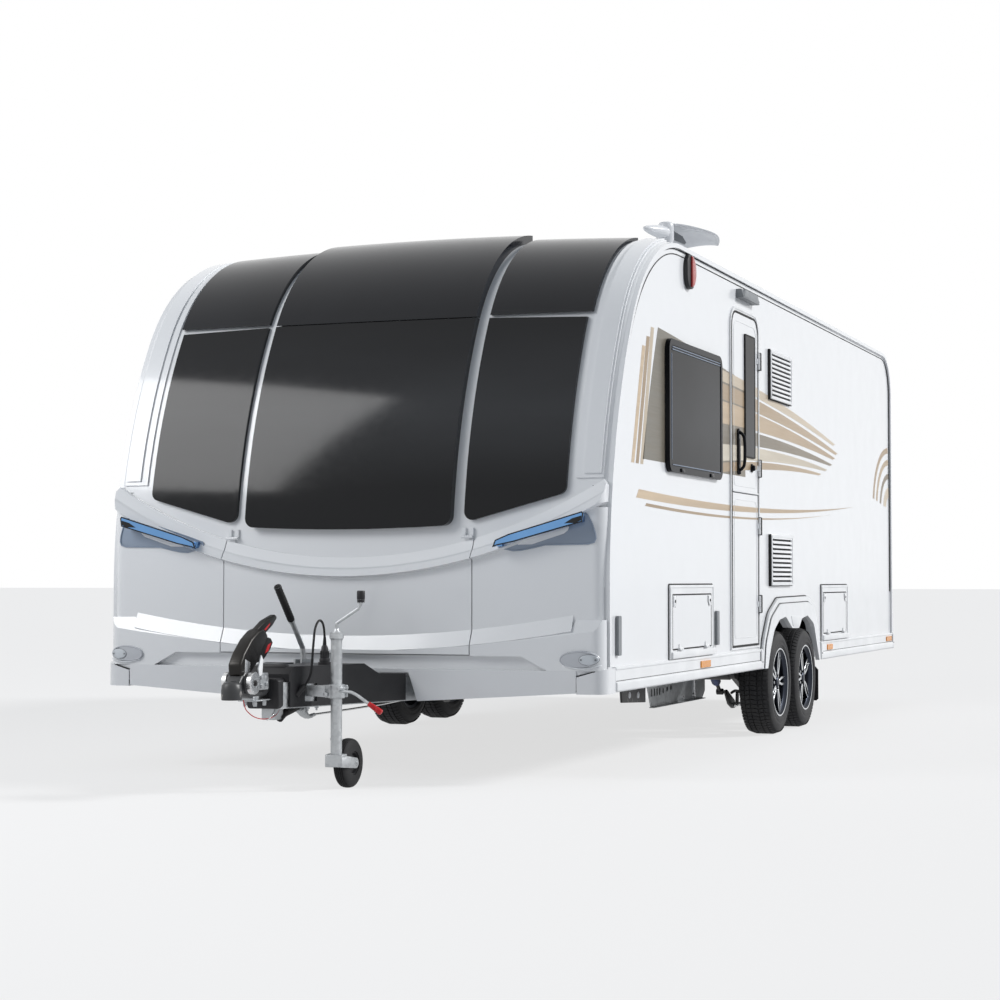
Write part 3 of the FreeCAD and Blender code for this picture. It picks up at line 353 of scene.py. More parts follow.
FINISH = {
    "body_white": gloss_white("white body paint"),
    "window_dark": tinted_acrylic("tinted acrylic"),
    "gloss_black": gloss_black("gloss black panel"),
    "black_plastic": satin("black moulding", (.018, .018, .02)),
    "galvanised": galvanised("galvanised steel"),
    "tyre": rubber("tyre rubber"),
    "alloy": metal("dark alloy", (.036, .041, .054), .34),
    "chrome": metal("bright chrome", (.78, .8, .83), .07),
    "lamp_clear": lens("clear lens", (.62, .65, .68), 60),
    "lamp_red": lens("red lens", (.42, .012, .01), 70),
    "lamp_amber": lens("amber lens", (.86, .31, .01), 90),
    "vent_white": satin("white moulding", (.76, .765, .77), .38, 500, .08),
    "door_white": gloss_white("door paint", (.79, .8, .815)),
    "floor_board": board("floor board"),
    "front_grey": gloss_white("sill paint", (.74, .75, .77)),
    "cast_steel": painted("cast coupling", (.03, .031, .033)),
    "solid_rubber": rubber("solid rubber", (.016, .016, .017)),
    "cable_black": rubber("cable sheath", (.014, .014, .015)),
    "cable_red": satin("red cable sheath", (.42, .012, .014), .3, 1400, .12),
}
MACHINED = metal("machined alloy", (.66, .68, .7), .2, (1, 30, 30))
STEEL = metal("bright steel", (.6, .61, .62), .24)
# Near-black rubber: real seals, lines and grips, and also painted shadow in the door and hatch gaps and the
# vent slots, and a painted dark reflection on the grab handles.
SEAL_AND_SHADOW = rubber("seal rubber and painted shadow", (.012, .012, .013))
RED = satin("red moulding", (.47, .012, .016), .35)
BLUE = painted("blue damper paint", (.012, .055, .26))
AXLE = painted("black axle paint", (.022, .022, .024))
NAVY = gloss_black("navy frame", .06)
SIDE_PANE = tinted_acrylic("side pane", .05)
PALE_EDGE = satin("pale blue edge", (.16, .2, .27), .3)
LAMP_GREY = satin("grey moulding", (.2, .21, .22), .45)
# Blue-grey for the grab-handle recesses: painted shade of the white front in a recess.
RECESS_PAINTED_SHADE = gloss_white("painted recess shade", (.23, .29, .38))
# Mid grey for the front lamps' almond surrounds, which are body-coloured: painted shade.
LAMP_SURROUND_PAINTED_SHADE = gloss_white("lamp surround in painted shade", (.46, .48, .52))
# Pale satin: on the front lamps' lower lip it is a painted highlight; it also colours the bushes of the
# forward members.
BRIGHT_EDGE = satin("bright edge", (.86, .88, .9), .3)
# Chrome tinted blue: a painted reflection of the sky, on the grab-handle bars.
CHROME_PAINTED_SKY = metal("chrome with painted sky reflection", (.15, .31, .57), .1)
HANDLE_BLACK = metal("dark cast handle", (.03, .029, .028), .32)
SMOKED = gloss_white("smoked dome", (.3, .31, .33))
TAUPE = foil("taupe film", (.155, .145, .12), (.235, .19, .135), -2.3, 1.9)
BRONZE = foil("bronze film", (.33, .235, .145), (.47, .36, .24), -2.0, 2.0)
CHAMPAGNE = foil("champagne film", (.6, .465, .315), (.4, .295, .19), -2.3, 2.4)
SAND = foil("sand film", (.5, .415, .305), (.62, .53, .41), -2.2, 2.1)
IVORY = foil("ivory film", (.68, .62, .51), (.5, .43, .33), -.8, 1.9)


def paint_cad_nodes():
    """Each CAD part in its slot's finish, apart from those whose finish differs."""
    special = {"body_windows": SIDE_PANE, "door_window": SIDE_PANE, "side_fittings": LAMP_GREY,
               "axles": AXLE, **{f"steady_{corner}": AXLE for corner in STEADY_BODY}}
    for part in frame["record"]["subparts"]:
        name = part["node"]
        finish = special.get(name, FINISH[part["material_slot"]])
        materials = nodes[name].data.materials
        materials.clear()
        materials.append(finish.material)


paint_cad_nodes()


# ---- modelling ------------------------------------------------------------
def focus(obj):
    """Make one object the only one selected."""
    bpy.ops.object.select_all(action="DESELECT")
    bpy.context.view_layer.objects.active = obj
    obj.select_set(True)
    return obj


def settle(obj):
    """Put an object's place, turn and size into its mesh."""
    focus(obj)
    bpy.ops.object.transform_apply(location=True, rotation=True, scale=True)
    return obj


@contextmanager
def editing(obj, kind="FACE"):
    """Edit mode on one object, with nothing in it selected."""
    focus(obj)
    bpy.ops.object.mode_set(mode="EDIT")
    bpy.ops.mesh.select_mode(type=kind)
    bpy.ops.mesh.select_all(action="DESELECT")
    yield
    bpy.ops.object.mode_set(mode="OBJECT")


def choose(test, kind="faces"):
    """Select the faces, edges or verts of the edited mesh that pass a test."""
    mesh = bmesh.from_edit_mesh(bpy.context.object.data)
    for part in getattr(mesh, kind):
        if test(part):
            part.select_set(True)
    bmesh.update_edit_mesh(bpy.context.object.data)


def modify(obj, kind, **settings):
    """Add one modifier and apply it."""
    focus(obj)
    bpy.ops.object.modifier_add(type=kind)
    modifier = obj.modifiers[-1]
    for key, value in settings.items():
        setattr(modifier, key, value)
    bpy.ops.object.modifier_apply(modifier=modifier.name)
    return obj


def bevelled(obj, width, segments=2):
    """Round the sharper edges."""
    return modify(obj, "BEVEL", width=width, segments=segments, limit_method="ANGLE")


def outwards(obj):
    """Merge doubles and turn every face outwards."""
    with editing(obj):
        bpy.ops.mesh.select_all(action="SELECT")
        bpy.ops.mesh.remove_doubles(threshold=MERGE_WITHIN)
        bpy.ops.mesh.dissolve_degenerate(threshold=SHORTEST_EDGE)
        bpy.ops.mesh.normals_make_consistent(inside=False)
    return obj


def block(x0, x1, y0, y1, z0, z1, edge=.002, segments=2):
    """Box between two corners, its edges bevelled."""
    bpy.ops.mesh.primitive_cube_add(size=1, location=((x0 + x1) / 2, (y0 + y1) / 2, (z0 + z1) / 2),
                                    scale=(abs(x1 - x0), abs(y1 - y0), abs(z1 - z0)))
    return bevelled(settle(bpy.context.object), edge, segments)


def drum(radius, a, b, sides=32, edge=.001, far_radius=None):
    """Round bar, disc or cone from a to b, its rims bevelled."""
    a, b = Vector(a), Vector(b)
    bpy.ops.mesh.primitive_cone_add(vertices=sides, radius1=radius, depth=(b - a).length,
                                    radius2=radius if far_radius is None else far_radius,
                                    location=(a + b) / 2,
                                    rotation=(b - a).to_track_quat("Z", "Y").to_euler())
    return bevelled(settle(bpy.context.object), edge, 2)


def outline_face(points, axis, at):
    """A flat face whose corners are (a, b) pairs across an axis."""
    bpy.ops.mesh.primitive_circle_add(vertices=len(points), fill_type="NGON")
    obj = bpy.context.object
    for vertex, (a, b) in zip(obj.data.vertices, points):
        vertex.co = {"X": (at, a, b), "Y": (a, at, b), "Z": (a, b, at)}[axis]
    return obj


def extruded(obj, axis, depth, edge, segments):
    """Extrude a flat shape along an axis, and bevel it if an edge is asked for."""
    with editing(obj):
        bpy.ops.mesh.select_all(action="SELECT")
        bpy.ops.mesh.extrude_region_move(TRANSFORM_OT_translate={"value": AXIS[axis] * depth})
    outwards(obj)
    return bevelled(obj, edge, segments) if edge else obj


def outlined(points, axis, at, depth, edge=.001, segments=2):
    """Flat outline extruded along an axis."""
    return extruded(outline_face(points, axis, at), axis, depth, edge, segments)


def banded(points, width, axis, at, depth, edge=.0008):
    """Frame: a band of one width inside an outline, extruded along an axis."""
    obj = outline_face(points, axis, at)
    with editing(obj):
        bpy.ops.mesh.select_all(action="SELECT")
        bpy.ops.mesh.inset(thickness=width, use_even_offset=True)
        bpy.ops.mesh.delete(type="FACE")
    return extruded(obj, axis, depth, edge, 1)


def round_box(a0, a1, b0, b1, r, low_r=None, steps=6):
    """Outline of a box with rounded corners; the lower two may have their own radius."""
    low_r = r if low_r is None else low_r
    points = []
    for a, b, radius, first in ((a1, b1, r, 0), (a0, b1, r, 90), (a0, b0, low_r, 180),
                                (a1, b0, low_r, 270)):
        ca = a - radius if a == a1 else a + radius
        cb = b - radius if b == b1 else b + radius
        for i in range(steps + 1):
            turn = math.radians(first + 90 * i / steps)
            points.append((ca + radius * math.cos(turn), cb + radius * math.sin(turn)))
    return points


def spun(profile, y, z, steps=64):
    """Turn an (x, radius) outline about an axle along X at (y, z)."""
    bpy.ops.mesh.primitive_circle_add(vertices=len(profile), fill_type="NOTHING")
    obj = bpy.context.object
    for vertex, (x, radius) in zip(obj.data.vertices, profile):
        vertex.co = (x, y, z + radius)
    with editing(obj, "EDGE"):
        bpy.ops.mesh.select_all(action="SELECT")
        bpy.ops.mesh.spin(steps=steps, angle=2 * math.pi, center=(0, y, z), axis=(1, 0, 0))
    return outwards(obj)


def path_curve(curve, points, radius, resolution, rounding):
    """Make a curve one smooth open tube along its control points, closed at its ends."""
    curve.splines.clear()
    spline = curve.splines.new("NURBS")
    spline.points.add(len(points) - 1)
    for point, place in zip(spline.points, points):
        point.co = (*place, 1)
    spline.order_u, spline.use_endpoint_u = 3, True
    curve.dimensions, curve.use_fill_caps = "3D", True
    curve.resolution_u, curve.bevel_depth, curve.bevel_resolution = resolution, radius, rounding


def bar(points, radius, order=3, resolution=6):
    """Round bar along a smooth path, as a mesh."""
    bpy.ops.curve.primitive_nurbs_path_add()
    path = focus(bpy.context.object)
    path_curve(path.data, points, radius, resolution, 3)
    path.data.splines[0].order_u = order
    bpy.ops.object.convert(target="MESH")
    return outwards(bpy.context.object)


def copied(obj, offset=(0, 0, 0)):
    """A copy with its own mesh, moved by an offset."""
    focus(obj)
    bpy.ops.object.duplicate()
    twin = bpy.context.object
    twin.location = offset
    return settle(twin)


def turned_about(obj, angle, centre, axis="X"):
    """Turn a mesh about a point, by an angle in degrees."""
    centre = Vector(centre)
    obj.matrix_world = (Matrix.Translation(centre) @ Matrix.Rotation(math.radians(angle), 4, axis)
                        @ Matrix.Translation(-centre))
    return settle(obj)


def mirrored(obj):
    """A copy on the other side of the centre plane."""
    twin = copied(obj)
    twin.scale = (-1, 1, 1)
    return outwards(settle(twin))


def to_side(obj, side):
    """A shape modelled on the nearside stays, or goes over to the offside."""
    if side > 0:
        return obj
    obj.scale = (-1, 1, 1)
    return outwards(settle(obj))


def stood_up(obj, x, y, z=0):
    """A shape spun about X, turned to stand along Z at a place."""
    obj.rotation_euler, obj.location = (0, -math.pi / 2, 0), (x, y, z)
    return outwards(settle(obj))


def faced_aft(obj, x, y, z):
    """A shape spun about X, turned to face rearwards at a place."""
    obj.rotation_euler, obj.location = (0, 0, math.pi / 2), (x, y, z)
    return outwards(settle(obj))


def joined(*parts):
    """Several shapes made one."""
    bpy.ops.object.select_all(action="DESELECT")
    for part in parts:
        part.select_set(True)
    bpy.context.view_layer.objects.active = parts[0]
    bpy.ops.object.join()
    return bpy.context.object


def piece(obj, name, body, slot, finish=None, replaces=()):
    """Name a finished shape, paint it, and say what it moves with."""
    obj.name = obj.data.name = name
    obj.data.materials.clear()
    obj.data.materials.append((finish or FINISH[slot]).material)
    focus(obj)
    bpy.ops.object.shade_smooth_by_angle(angle=SMOOTH_BELOW)
    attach(obj, body)
    if replaces:
        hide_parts(*replaces)
    return obj


def both_hands(parts, name, slot, finish=None, replaces=()):
    """One nearside shape, named, and its mirror image on the offside."""
    shape = joined(*parts)
    piece(mirrored(shape), f"{name}_offside", BODY, slot, finish)
    piece(shape, f"{name}_nearside", BODY, slot, finish, replaces)


SIDE = 1.225                                        # outer face of the side walls


# ---- cords at the hitch ---------------------------------------------------
# Control points of each route, from where the cord leaves the hitch to its far end.
LEAD = [(.135, -3.527, .44), (.156, -3.516, .469), (.154, -3.497, .54), (.15, -3.477, .612),
        (.147, -3.457, .684), (.141, -3.396, .719), (.135, -3.335, .684), (.135, -3.335, .612)]
CABLE = [(.03, -3.545, .385), (.03, -3.548, .346), (.031, -3.581, .318), (.033, -3.636, .308),
         (.034, -3.692, .306), (.036, -3.748, .311), (.037, -3.802, .322), (.038, -3.85, .341),
         (.037, -3.882, .362), (.035, -3.89, .395)]


def cord_line(name, points, diameter, slot):
    """Smooth cord along its route."""
    curve = bpy.data.curves.new(name, "CURVE")
    curve.dimensions = "3D"
    path_curve(curve, points, diameter / 2, 12, 4)
    curve.materials.append(FINISH[slot].material)
    obj = bpy.data.objects.new(name, curve)
    bpy.context.collection.objects.link(obj)
    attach(obj, BODY)
    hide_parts(name)
    obj.name = name + "_cord"
    return obj


def hitch_cords():
    """Lead arching into its parked plug, and the breakaway cable under the neck."""
    x, y, top = LEAD[-1]
    foot = .531                                    # lower end of the plug
    relief = drum(.0088, (x, y, top - .012), (x, y, top + .026), 24, .0012, .0058)
    shell = drum(.0195, (x, y, foot + .012), (x, y, top - .016), 40, .003, .014)
    collar = drum(.0225, (x, y, foot - .004), (x, y, foot + .016), 40, .003)
    ring = drum(.0145, (x, y, top - .018), (x, y, top - .008), 40, .002, .0095)
    ribs = [turned_about(block(x + .014, x + .0195, y - .002, y + .002, foot + .018, top - .034,
                               .0008, 1), 30 * i, (x, y, 0), "Z") for i in range(12)]
    plug = piece(joined(shell, collar, ring, *ribs), "hitch_plug_body", BODY, "black_plastic",
                 replaces=("hitch_plug",))
    sleeve = piece(relief, "plug_strain_relief", BODY, "cable_black")
    lead = cord_line("hitch_lead", LEAD, .01, "cable_black")
    cable = cord_line("breakaway_cable", CABLE, .004, "cable_red")


# ---- wheels ---------------------------------------------------------------
WHEEL_Y, WHEEL_Z, WHEEL_R = (.43, 1.09), .297, .297
TYRE_X, TYRE_W, RIM_R = 1.24, .185, .198            # outer face of the tyre, its width, the rim
BLOCKS = 68                                         # tread blocks round a tyre, in each row
TREAD_ROWS = ((.01, .04, .005), (.045, .069, -.006), (.074, .111, .006),
              (.116, .14, -.006), (.145, .175, .005))       # from, to, lean of the blocks
TREAD_FOOT = .2835                                  # radius at which the blocks start
SHOULDERS = (0, len(TREAD_ROWS) - 1)
FILL, SHOULDER_FILL = .88, .8                       # share of the pitch that a block takes
WORN, SHOULDER_WORN, EDGE_DROP = .0005, .003, .009  # drop of the blocks' tops, and of the outer edges
FIRST_TURN, NEXT_TURN = -17, 31                     # how the front wheels stand, and the rear ones more
SPOKE_GAP, SPOKE_BEND = .0075, .01                  # half the gap of a pair, and its bulge half-way out
SPOKES_PART, SPOKE_SPREAD = .045, .11               # radius from which a pair spreads, and how fast
SPOKE_TURN, BOLT_CIRCLE = 3.0, .054                 # degrees, radius


def make_tyre():
    """Carcass with ribbed sidewalls under five rows of tread blocks."""
    x1, x0, y = TYRE_X, TYRE_X - TYRE_W, WHEEL_Y[0]
    outer = [(.008, RIM_R - .002), (.003, .203), (.004, .207), (.0005, .211), (.0005, .229),
             (.0022, .231), (.0005, .235), (.0012, .248), (.004, .258), (.0085, .27),
             (.016, .281), (.026, .2875), (.045, .2895)]
    half = [(x1 - inset, radius) for inset, radius in outer]
    other = [(x0 + inset, radius) for inset, radius in reversed(outer)]
    carcass = spun(half + other, y, WHEEL_Z, 80)
    rows = []
    pitch = 2 * math.pi / BLOCKS
    for row, (low, high, lean) in enumerate(TREAD_ROWS):
        shoulder = row in SHOULDERS
        half_length = pitch * WHEEL_R * (SHOULDER_FILL if shoulder else FILL) / 2
        top = WHEEL_R - (SHOULDER_WORN if shoulder else WORN)
        lean /= 2
        plan = [(x1 - low, y - half_length - lean), (x1 - high, y - half_length + lean),
                (x1 - high, y + half_length + lean), (x1 - low, y + half_length - lean)]
        tread = outlined(plan, "Z", WHEEL_Z + TREAD_FOOT, top - TREAD_FOOT, .0012, 1)
        if shoulder:
            edge = x1 - (low if row == 0 else high)
            with editing(tread, "VERT"):
                choose(lambda v: abs(v.co.x - edge) < .003 and v.co.z > WHEEL_Z + .29, "verts")
                bpy.ops.transform.translate(value=(0, 0, -EDGE_DROP))
        with editing(tread):
            bpy.ops.mesh.select_all(action="SELECT")
            bpy.ops.mesh.spin(steps=BLOCKS - 1, angle=2 * math.pi - pitch, dupli=True,
                              center=(0, y, WHEEL_Z), axis=(1, 0, 0))
        rows.append(outwards(tread))
    return joined(carcass, *rows)


def spoke_outline(low, high, root, tip, side):
    """One curved spoke of a pair across the wheel, from radius low to high, as (y, z) pairs."""
    edges = []
    for edge in (-1, 1):
        for i in range(7):
            t = i / 6
            radius = low + (high - low) * t
            apart = (SPOKE_GAP + SPOKE_SPREAD * max(0, radius - SPOKES_PART)
                     + SPOKE_BEND * math.sin(math.pi * t))
            edges.append((WHEEL_Y[0] + side * apart + edge * (root + (tip - root) * t), WHEEL_Z + radius))
    return edges[:7] + edges[:6:-1]


def make_wheel():
    """Alloy wheel: rim, five pairs of spokes with bright faces, bolts and a plain cap."""
    x1, y = TYRE_X, WHEEL_Y[0]
    rim = spun([(x1 - .012, RIM_R), (x1 - .006, RIM_R - .002), (x1 - .006, RIM_R - .01),
                (x1 - .02, RIM_R - .014), (x1 - .028, RIM_R - .022), (x1 - .12, RIM_R - .034),
                (x1 - .17, RIM_R - .018), (x1 - .176, RIM_R), (x1 - .166, RIM_R - .006),
                (x1 - .12, RIM_R - .022), (x1 - .03, RIM_R - .01)], y, WHEEL_Z, 80)
    hub = spun([(x1 - .11, .0205), (x1 - .11, .07), (x1 - .05, .074), (x1 - .038, .066),
                (x1 - .034, .04), (x1 - .034, .0205)], y, WHEEL_Z, 48)
    dark, bright = [rim, hub], []
    bright.append(spun([(x1 - .0055, RIM_R - .003), (x1 - .0045, RIM_R - .005),
                        (x1 - .0055, RIM_R - .011), (x1 - .0075, RIM_R - .007)], y, WHEEL_Z, 80))
    for i in range(5):
        for side in (-1, 1):
            spoke = outlined(spoke_outline(.04, .188, .0095, .0068, side), "X", x1 - .052, .03,
                             .003, 2)
            face = outlined(spoke_outline(.044, .187, .0076, .005, side), "X", x1 - .0235, .0022,
                            .0008, 1)
            for part, kept in ((spoke, dark), (face, bright)):
                kept.append(turned_about(part, 72 * i + side * SPOKE_TURN, (0, y, WHEEL_Z)))
        turn = math.radians(72 * i + 36)
        at = (y + BOLT_CIRCLE * math.sin(turn), WHEEL_Z + BOLT_CIRCLE * math.cos(turn))
        dark.append(drum(.0125, (x1 - .045, *at), (x1 - .0325, *at), 20, .001))
        bright.append(drum(.0098, (x1 - .04, *at), (x1 - .026, *at), 6, .0012))
    cap = spun([(x1 - .036, 0.0), (x1 - .036, .031), (x1 - .022, .03), (x1 - .017, .025),
                (x1 - .015, .012), (x1 - .0145, 0.0)], y, WHEEL_Z, 40)
    valve = drum(.004, (x1 - .03, y + .02, WHEEL_Z + .15),
                 (x1 - .012, y + .02, WHEEL_Z + .146), 12)
    return joined(*dark), joined(*bright), joined(cap, valve)


def wheels():
    """Four wheels from one tyre and one rim, each turned a little differently."""
    tyre = make_tyre()
    dark, bright, cap = make_wheel()
    kinds = (("tyre", tyre, "tyre", None), ("wheel", dark, "alloy", None),
             ("spoke_faces", bright, "alloy", MACHINED), ("hub_cap", cap, "alloy", None))
    for row, (place, y) in enumerate(zip(("front", "rear"), WHEEL_Y)):
        for side in ("nearside", "offside"):
            for kind, shape, slot, finish in kinds:
                twin = copied(shape, (0, y - WHEEL_Y[0], 0))
                twin = turned_about(twin, FIRST_TURN + NEXT_TURN * row, (0, y, WHEEL_Z))
                if side == "offside":
                    flipped = mirrored(twin)
                    bpy.data.objects.remove(twin)
                    twin = flipped
                swaps = (f"{kind}_{place}_{side}",) if kind in ("tyre", "wheel") else ()
                piece(twin, f"{kind}_{place}_{side}_detail", f"wheel_{place}_{side}_body", slot,
                      finish, swaps)
    for shape in (tyre, dark, bright, cap):
        bpy.data.objects.remove(shape)


# ---- front ----------------------------------------------------------------
PANEL_FACE, SILL_FACE = -2.85, -2.884               # front faces on the centre line
BOW_RATE = .0294                                    # 1/m: how the front falls back from its middle
CORNER_FROM, CORNER_RATE = 1.17, 9                  # from this x outwards it falls back faster, 1/m
POINTED = .16                                       # share by which an almond's outer end narrows


def bowed(obj):
    """Let a flat shape follow the front's bow from side to side."""
    for vertex in obj.data.vertices:
        x = abs(vertex.co.x)
        vertex.co.y += BOW_RATE * x * x + CORNER_RATE * max(0, x - CORNER_FROM) ** 2
    return outwards(obj)


def grab_handles():
    """Faceted bright bars, tinted blue as a painted sky reflection, over dished recesses whose shade is
    painted on blue-grey plates.
    """
    dish = [(.713, 1.025), (.729, 1.061), (.8, 1.084), (1.13, 1.184), (1.15, 1.17), (1.172, 1.13),
            (1.186, 1.087), (1.188, 1.062), (1.18, 1.044), (1.151, 1.036), (.957, 1.033), (.9, 1.02),
            (.847, 1.01), (.81, 1.008), (.775, 1.016)]
    # Flat blue-grey plate and rim over the panel: the painted shade of the recess under each bar.
    plate = bowed(outlined(dish, "Y", PANEL_FACE - .003, .006, .0012))
    rim = bowed(banded(dish, .006, "Y", PANEL_FACE - .0055, .004, .0012))
    both_hands([plate, rim], "handle_recess_painted_shade", "front_grey", RECESS_PAINTED_SHADE)
    strip = [(.811, 1.05), (.835, 1.037), (.898, 1.039), (1.044, 1.085), (1.062, 1.1), (1.068, 1.117),
             (1.038, 1.112)]
    both_hands([bowed(outlined(strip, "Y", PANEL_FACE - .0075, .006, .002))], "handle_palm_strip",
               "front_grey")
    grip = [(.736, 1.026), (.748, 1.058), (.81, 1.084), (1.142, 1.18), (1.149, 1.172), (1.143, 1.134),
            (.831, 1.049), (.757, 1.034)]
    face = bowed(outlined(grip, "Y", -2.912, .021, .0062, 1))
    feet = [bowed(block(a, a + .034, -2.895, PANEL_FACE - .001, z, z + .03, .004))
            for a, z in ((.742, 1.03), (1.104, 1.134))]
    # The bars' blue tint is a painted sky reflection.
    both_hands([face, *feet], "handle_bar", "chrome", CHROME_PAINTED_SKY, ("front_grab_handles",))
    # Dark lines round each bar's face, and a small dark plate near its outer end that is a painted dark
    # reflection in the chrome.
    lines = [bowed(banded(grip, .0042, "Y", -2.9136, .006, 0)),
             bowed(outlined([(1.063, 1.128), (1.099, 1.15), (1.141, 1.162), (1.138, 1.14),
                             (1.112, 1.13)], "Y", -2.9138, .004, .001, 1))]
    both_hands(lines, "handle_edge_lines_and_dark_reflection", "black_plastic", SEAL_AND_SHADOW)


def almond(cx, cz, a, b, lean, steps=28):
    """Oval outline, pointed a little at its outer end."""
    points = []
    for i in range(steps):
        turn = 2 * math.pi * i / steps
        x, z = a * math.cos(turn), b * math.sin(turn) * (1 - POINTED * math.cos(turn) ** 3)
        points.append((cx + x, cz + z + lean * x))
    return points


def front_lamps():
    """Almond-shaped surrounds greyed with painted shade, lenses, studs and a lower lip made brighter as a
    painted highlight.
    """
    shell = outlined(almond(1.122, .5385, .09, .0375, .03), "Y", SILL_FACE - .0075, .012, .0055, 3)
    dish = banded(almond(1.122, .5385, .088, .0355, .03), .0055, "Y", SILL_FACE - .0095, .004, .0016)
    # The surrounds' grey is painted shade.
    both_hands([bowed(shell), bowed(dish)], "front_lamp_shell", "front_grey", LAMP_SURROUND_PAINTED_SHADE, ("front_lamps",))
    glass = outlined(almond(1.166, .536, .043, .0225, .02), "Y", SILL_FACE - .0115, .008, .0032, 3)
    both_hands([bowed(glass)], "front_lamp_glass", "lamp_clear")
    bulbs = [bowed(drum(.0045, (x, SILL_FACE - .0125, .536), (x, SILL_FACE - .004, .536), 16, .0008))
             for x in (1.132, 1.196)]
    line = bowed(banded(almond(1.166, .536, .045, .024, .02), .0018, "Y", SILL_FACE - .0088, .002, 0))
    both_hands([*bulbs, line], "front_lamp_studs", "black_plastic", LAMP_GREY)
    # The lower lip is painted paler than the front around it: a painted highlight.
    smile = ([(1.048 + .0168 * i, .5125 - .0175 * math.sin(math.pi * (i + .4) / 10.8)) for i in range(11)]
             + [(1.216 - .0168 * i, .5165 - .0165 * math.sin(math.pi * (10.4 - i) / 10.8))
                for i in range(11)])
    both_hands([bowed(outlined(smile, "Y", SILL_FACE - .0065, .007, .0012, 1))], "front_lamp_lip",
               "front_grey", BRIGHT_EDGE)


def front_lines():
    """Joint lines of the corner covers, and the small plates behind them."""
    path = [(1.106, .396), (1.1215, .47), (1.19, .4865), (1.19, .4815), (1.1255, .4655), (1.111, .396)]
    line = bowed(outlined(path, "Y", SILL_FACE - .0012, .005, 0))
    both_hands([line], "corner_cover_line", "front_grey", SEAL_AND_SHADOW)
    fill = bowed(block(1.095, 1.1995, SILL_FACE + .0045, SILL_FACE + .055, .468, .4985, .002))
    both_hands([fill], "corner_cover_flange", "front_grey")
    screw = bowed(drum(.0055, (1.192, -2.801, 1.285), (1.192, -2.812, 1.285), 20, .0008))
    both_hands([screw], "corner_seam_screw", "black_plastic", LAMP_GREY)
    seam = bowed(bar([(1.15, -2.7836, 1.297), (1.175, -2.7838, 1.2955), (1.198, -2.8278, 1.294)], .0016))
    both_hands([seam], "corner_seam_line", "black_plastic", LAMP_GREY)


# ---- hitch ----------------------------------------------------------------
BARREL = (-3.846, .462)                             # axle of the friction discs: y, z


def coupling_body():
    """Ball cup, barrel and neck in black cast steel, and the cover over the drawbar's nose."""
    cup = spun([(.396, .0262), (.396, .04), (.4, .042), (.435, .0425), (.456, .04),
                (.468, .031), (.473, .018), (.474, 0), (.456, 0), (.4545, .01), (.45, .02),
                (.44, .0262)], 0, 0, 48)
    cheek = outlined([(-3.925, .428), (-3.925, .466), (-3.895, .496), (-3.85, .508), (-3.78, .503),
                      (-3.66, .488), (-3.645, .47), (-3.645, .418), (-3.68, .402), (-3.79, .396),
                      (-3.86, .404), (-3.905, .414)], "X", -.033, .066, .013, 4)
    barrel = spun([(-.047, 0), (-.047, .04), (-.042, .0435), (-.033, .0435), (-.031, .047),
                   (-.024, .047), (-.022, .0435), (.022, .0435), (.024, .047), (.031, .047),
                   (.033, .0435), (.042, .0435), (.047, .04), (.047, 0)], *BARREL, 48)
    piece(joined(stood_up(cup, 0, -3.925), cheek, barrel), "coupling_shell", BODY, "cast_steel", None,
          ("coupling_head",))
    low = outlined([(-.07, .346), (-.075, .36), (-.075, .462), (-.062, .473), (.062, .473), (.075, .462),
                    (.075, .36), (.07, .346)], "Y", -3.65, .084, .006, 3)
    tall = outlined([(-.07, .346), (-.0765, .36), (-.0765, .505), (-.06, .528), (.06, .528),
                     (.0765, .505), (.0765, .36), (.07, .346)], "Y", -3.5685, .0445, .008, 3)
    piece(joined(low, tall), "drawbar_nose_cover", BODY, "black_plastic")


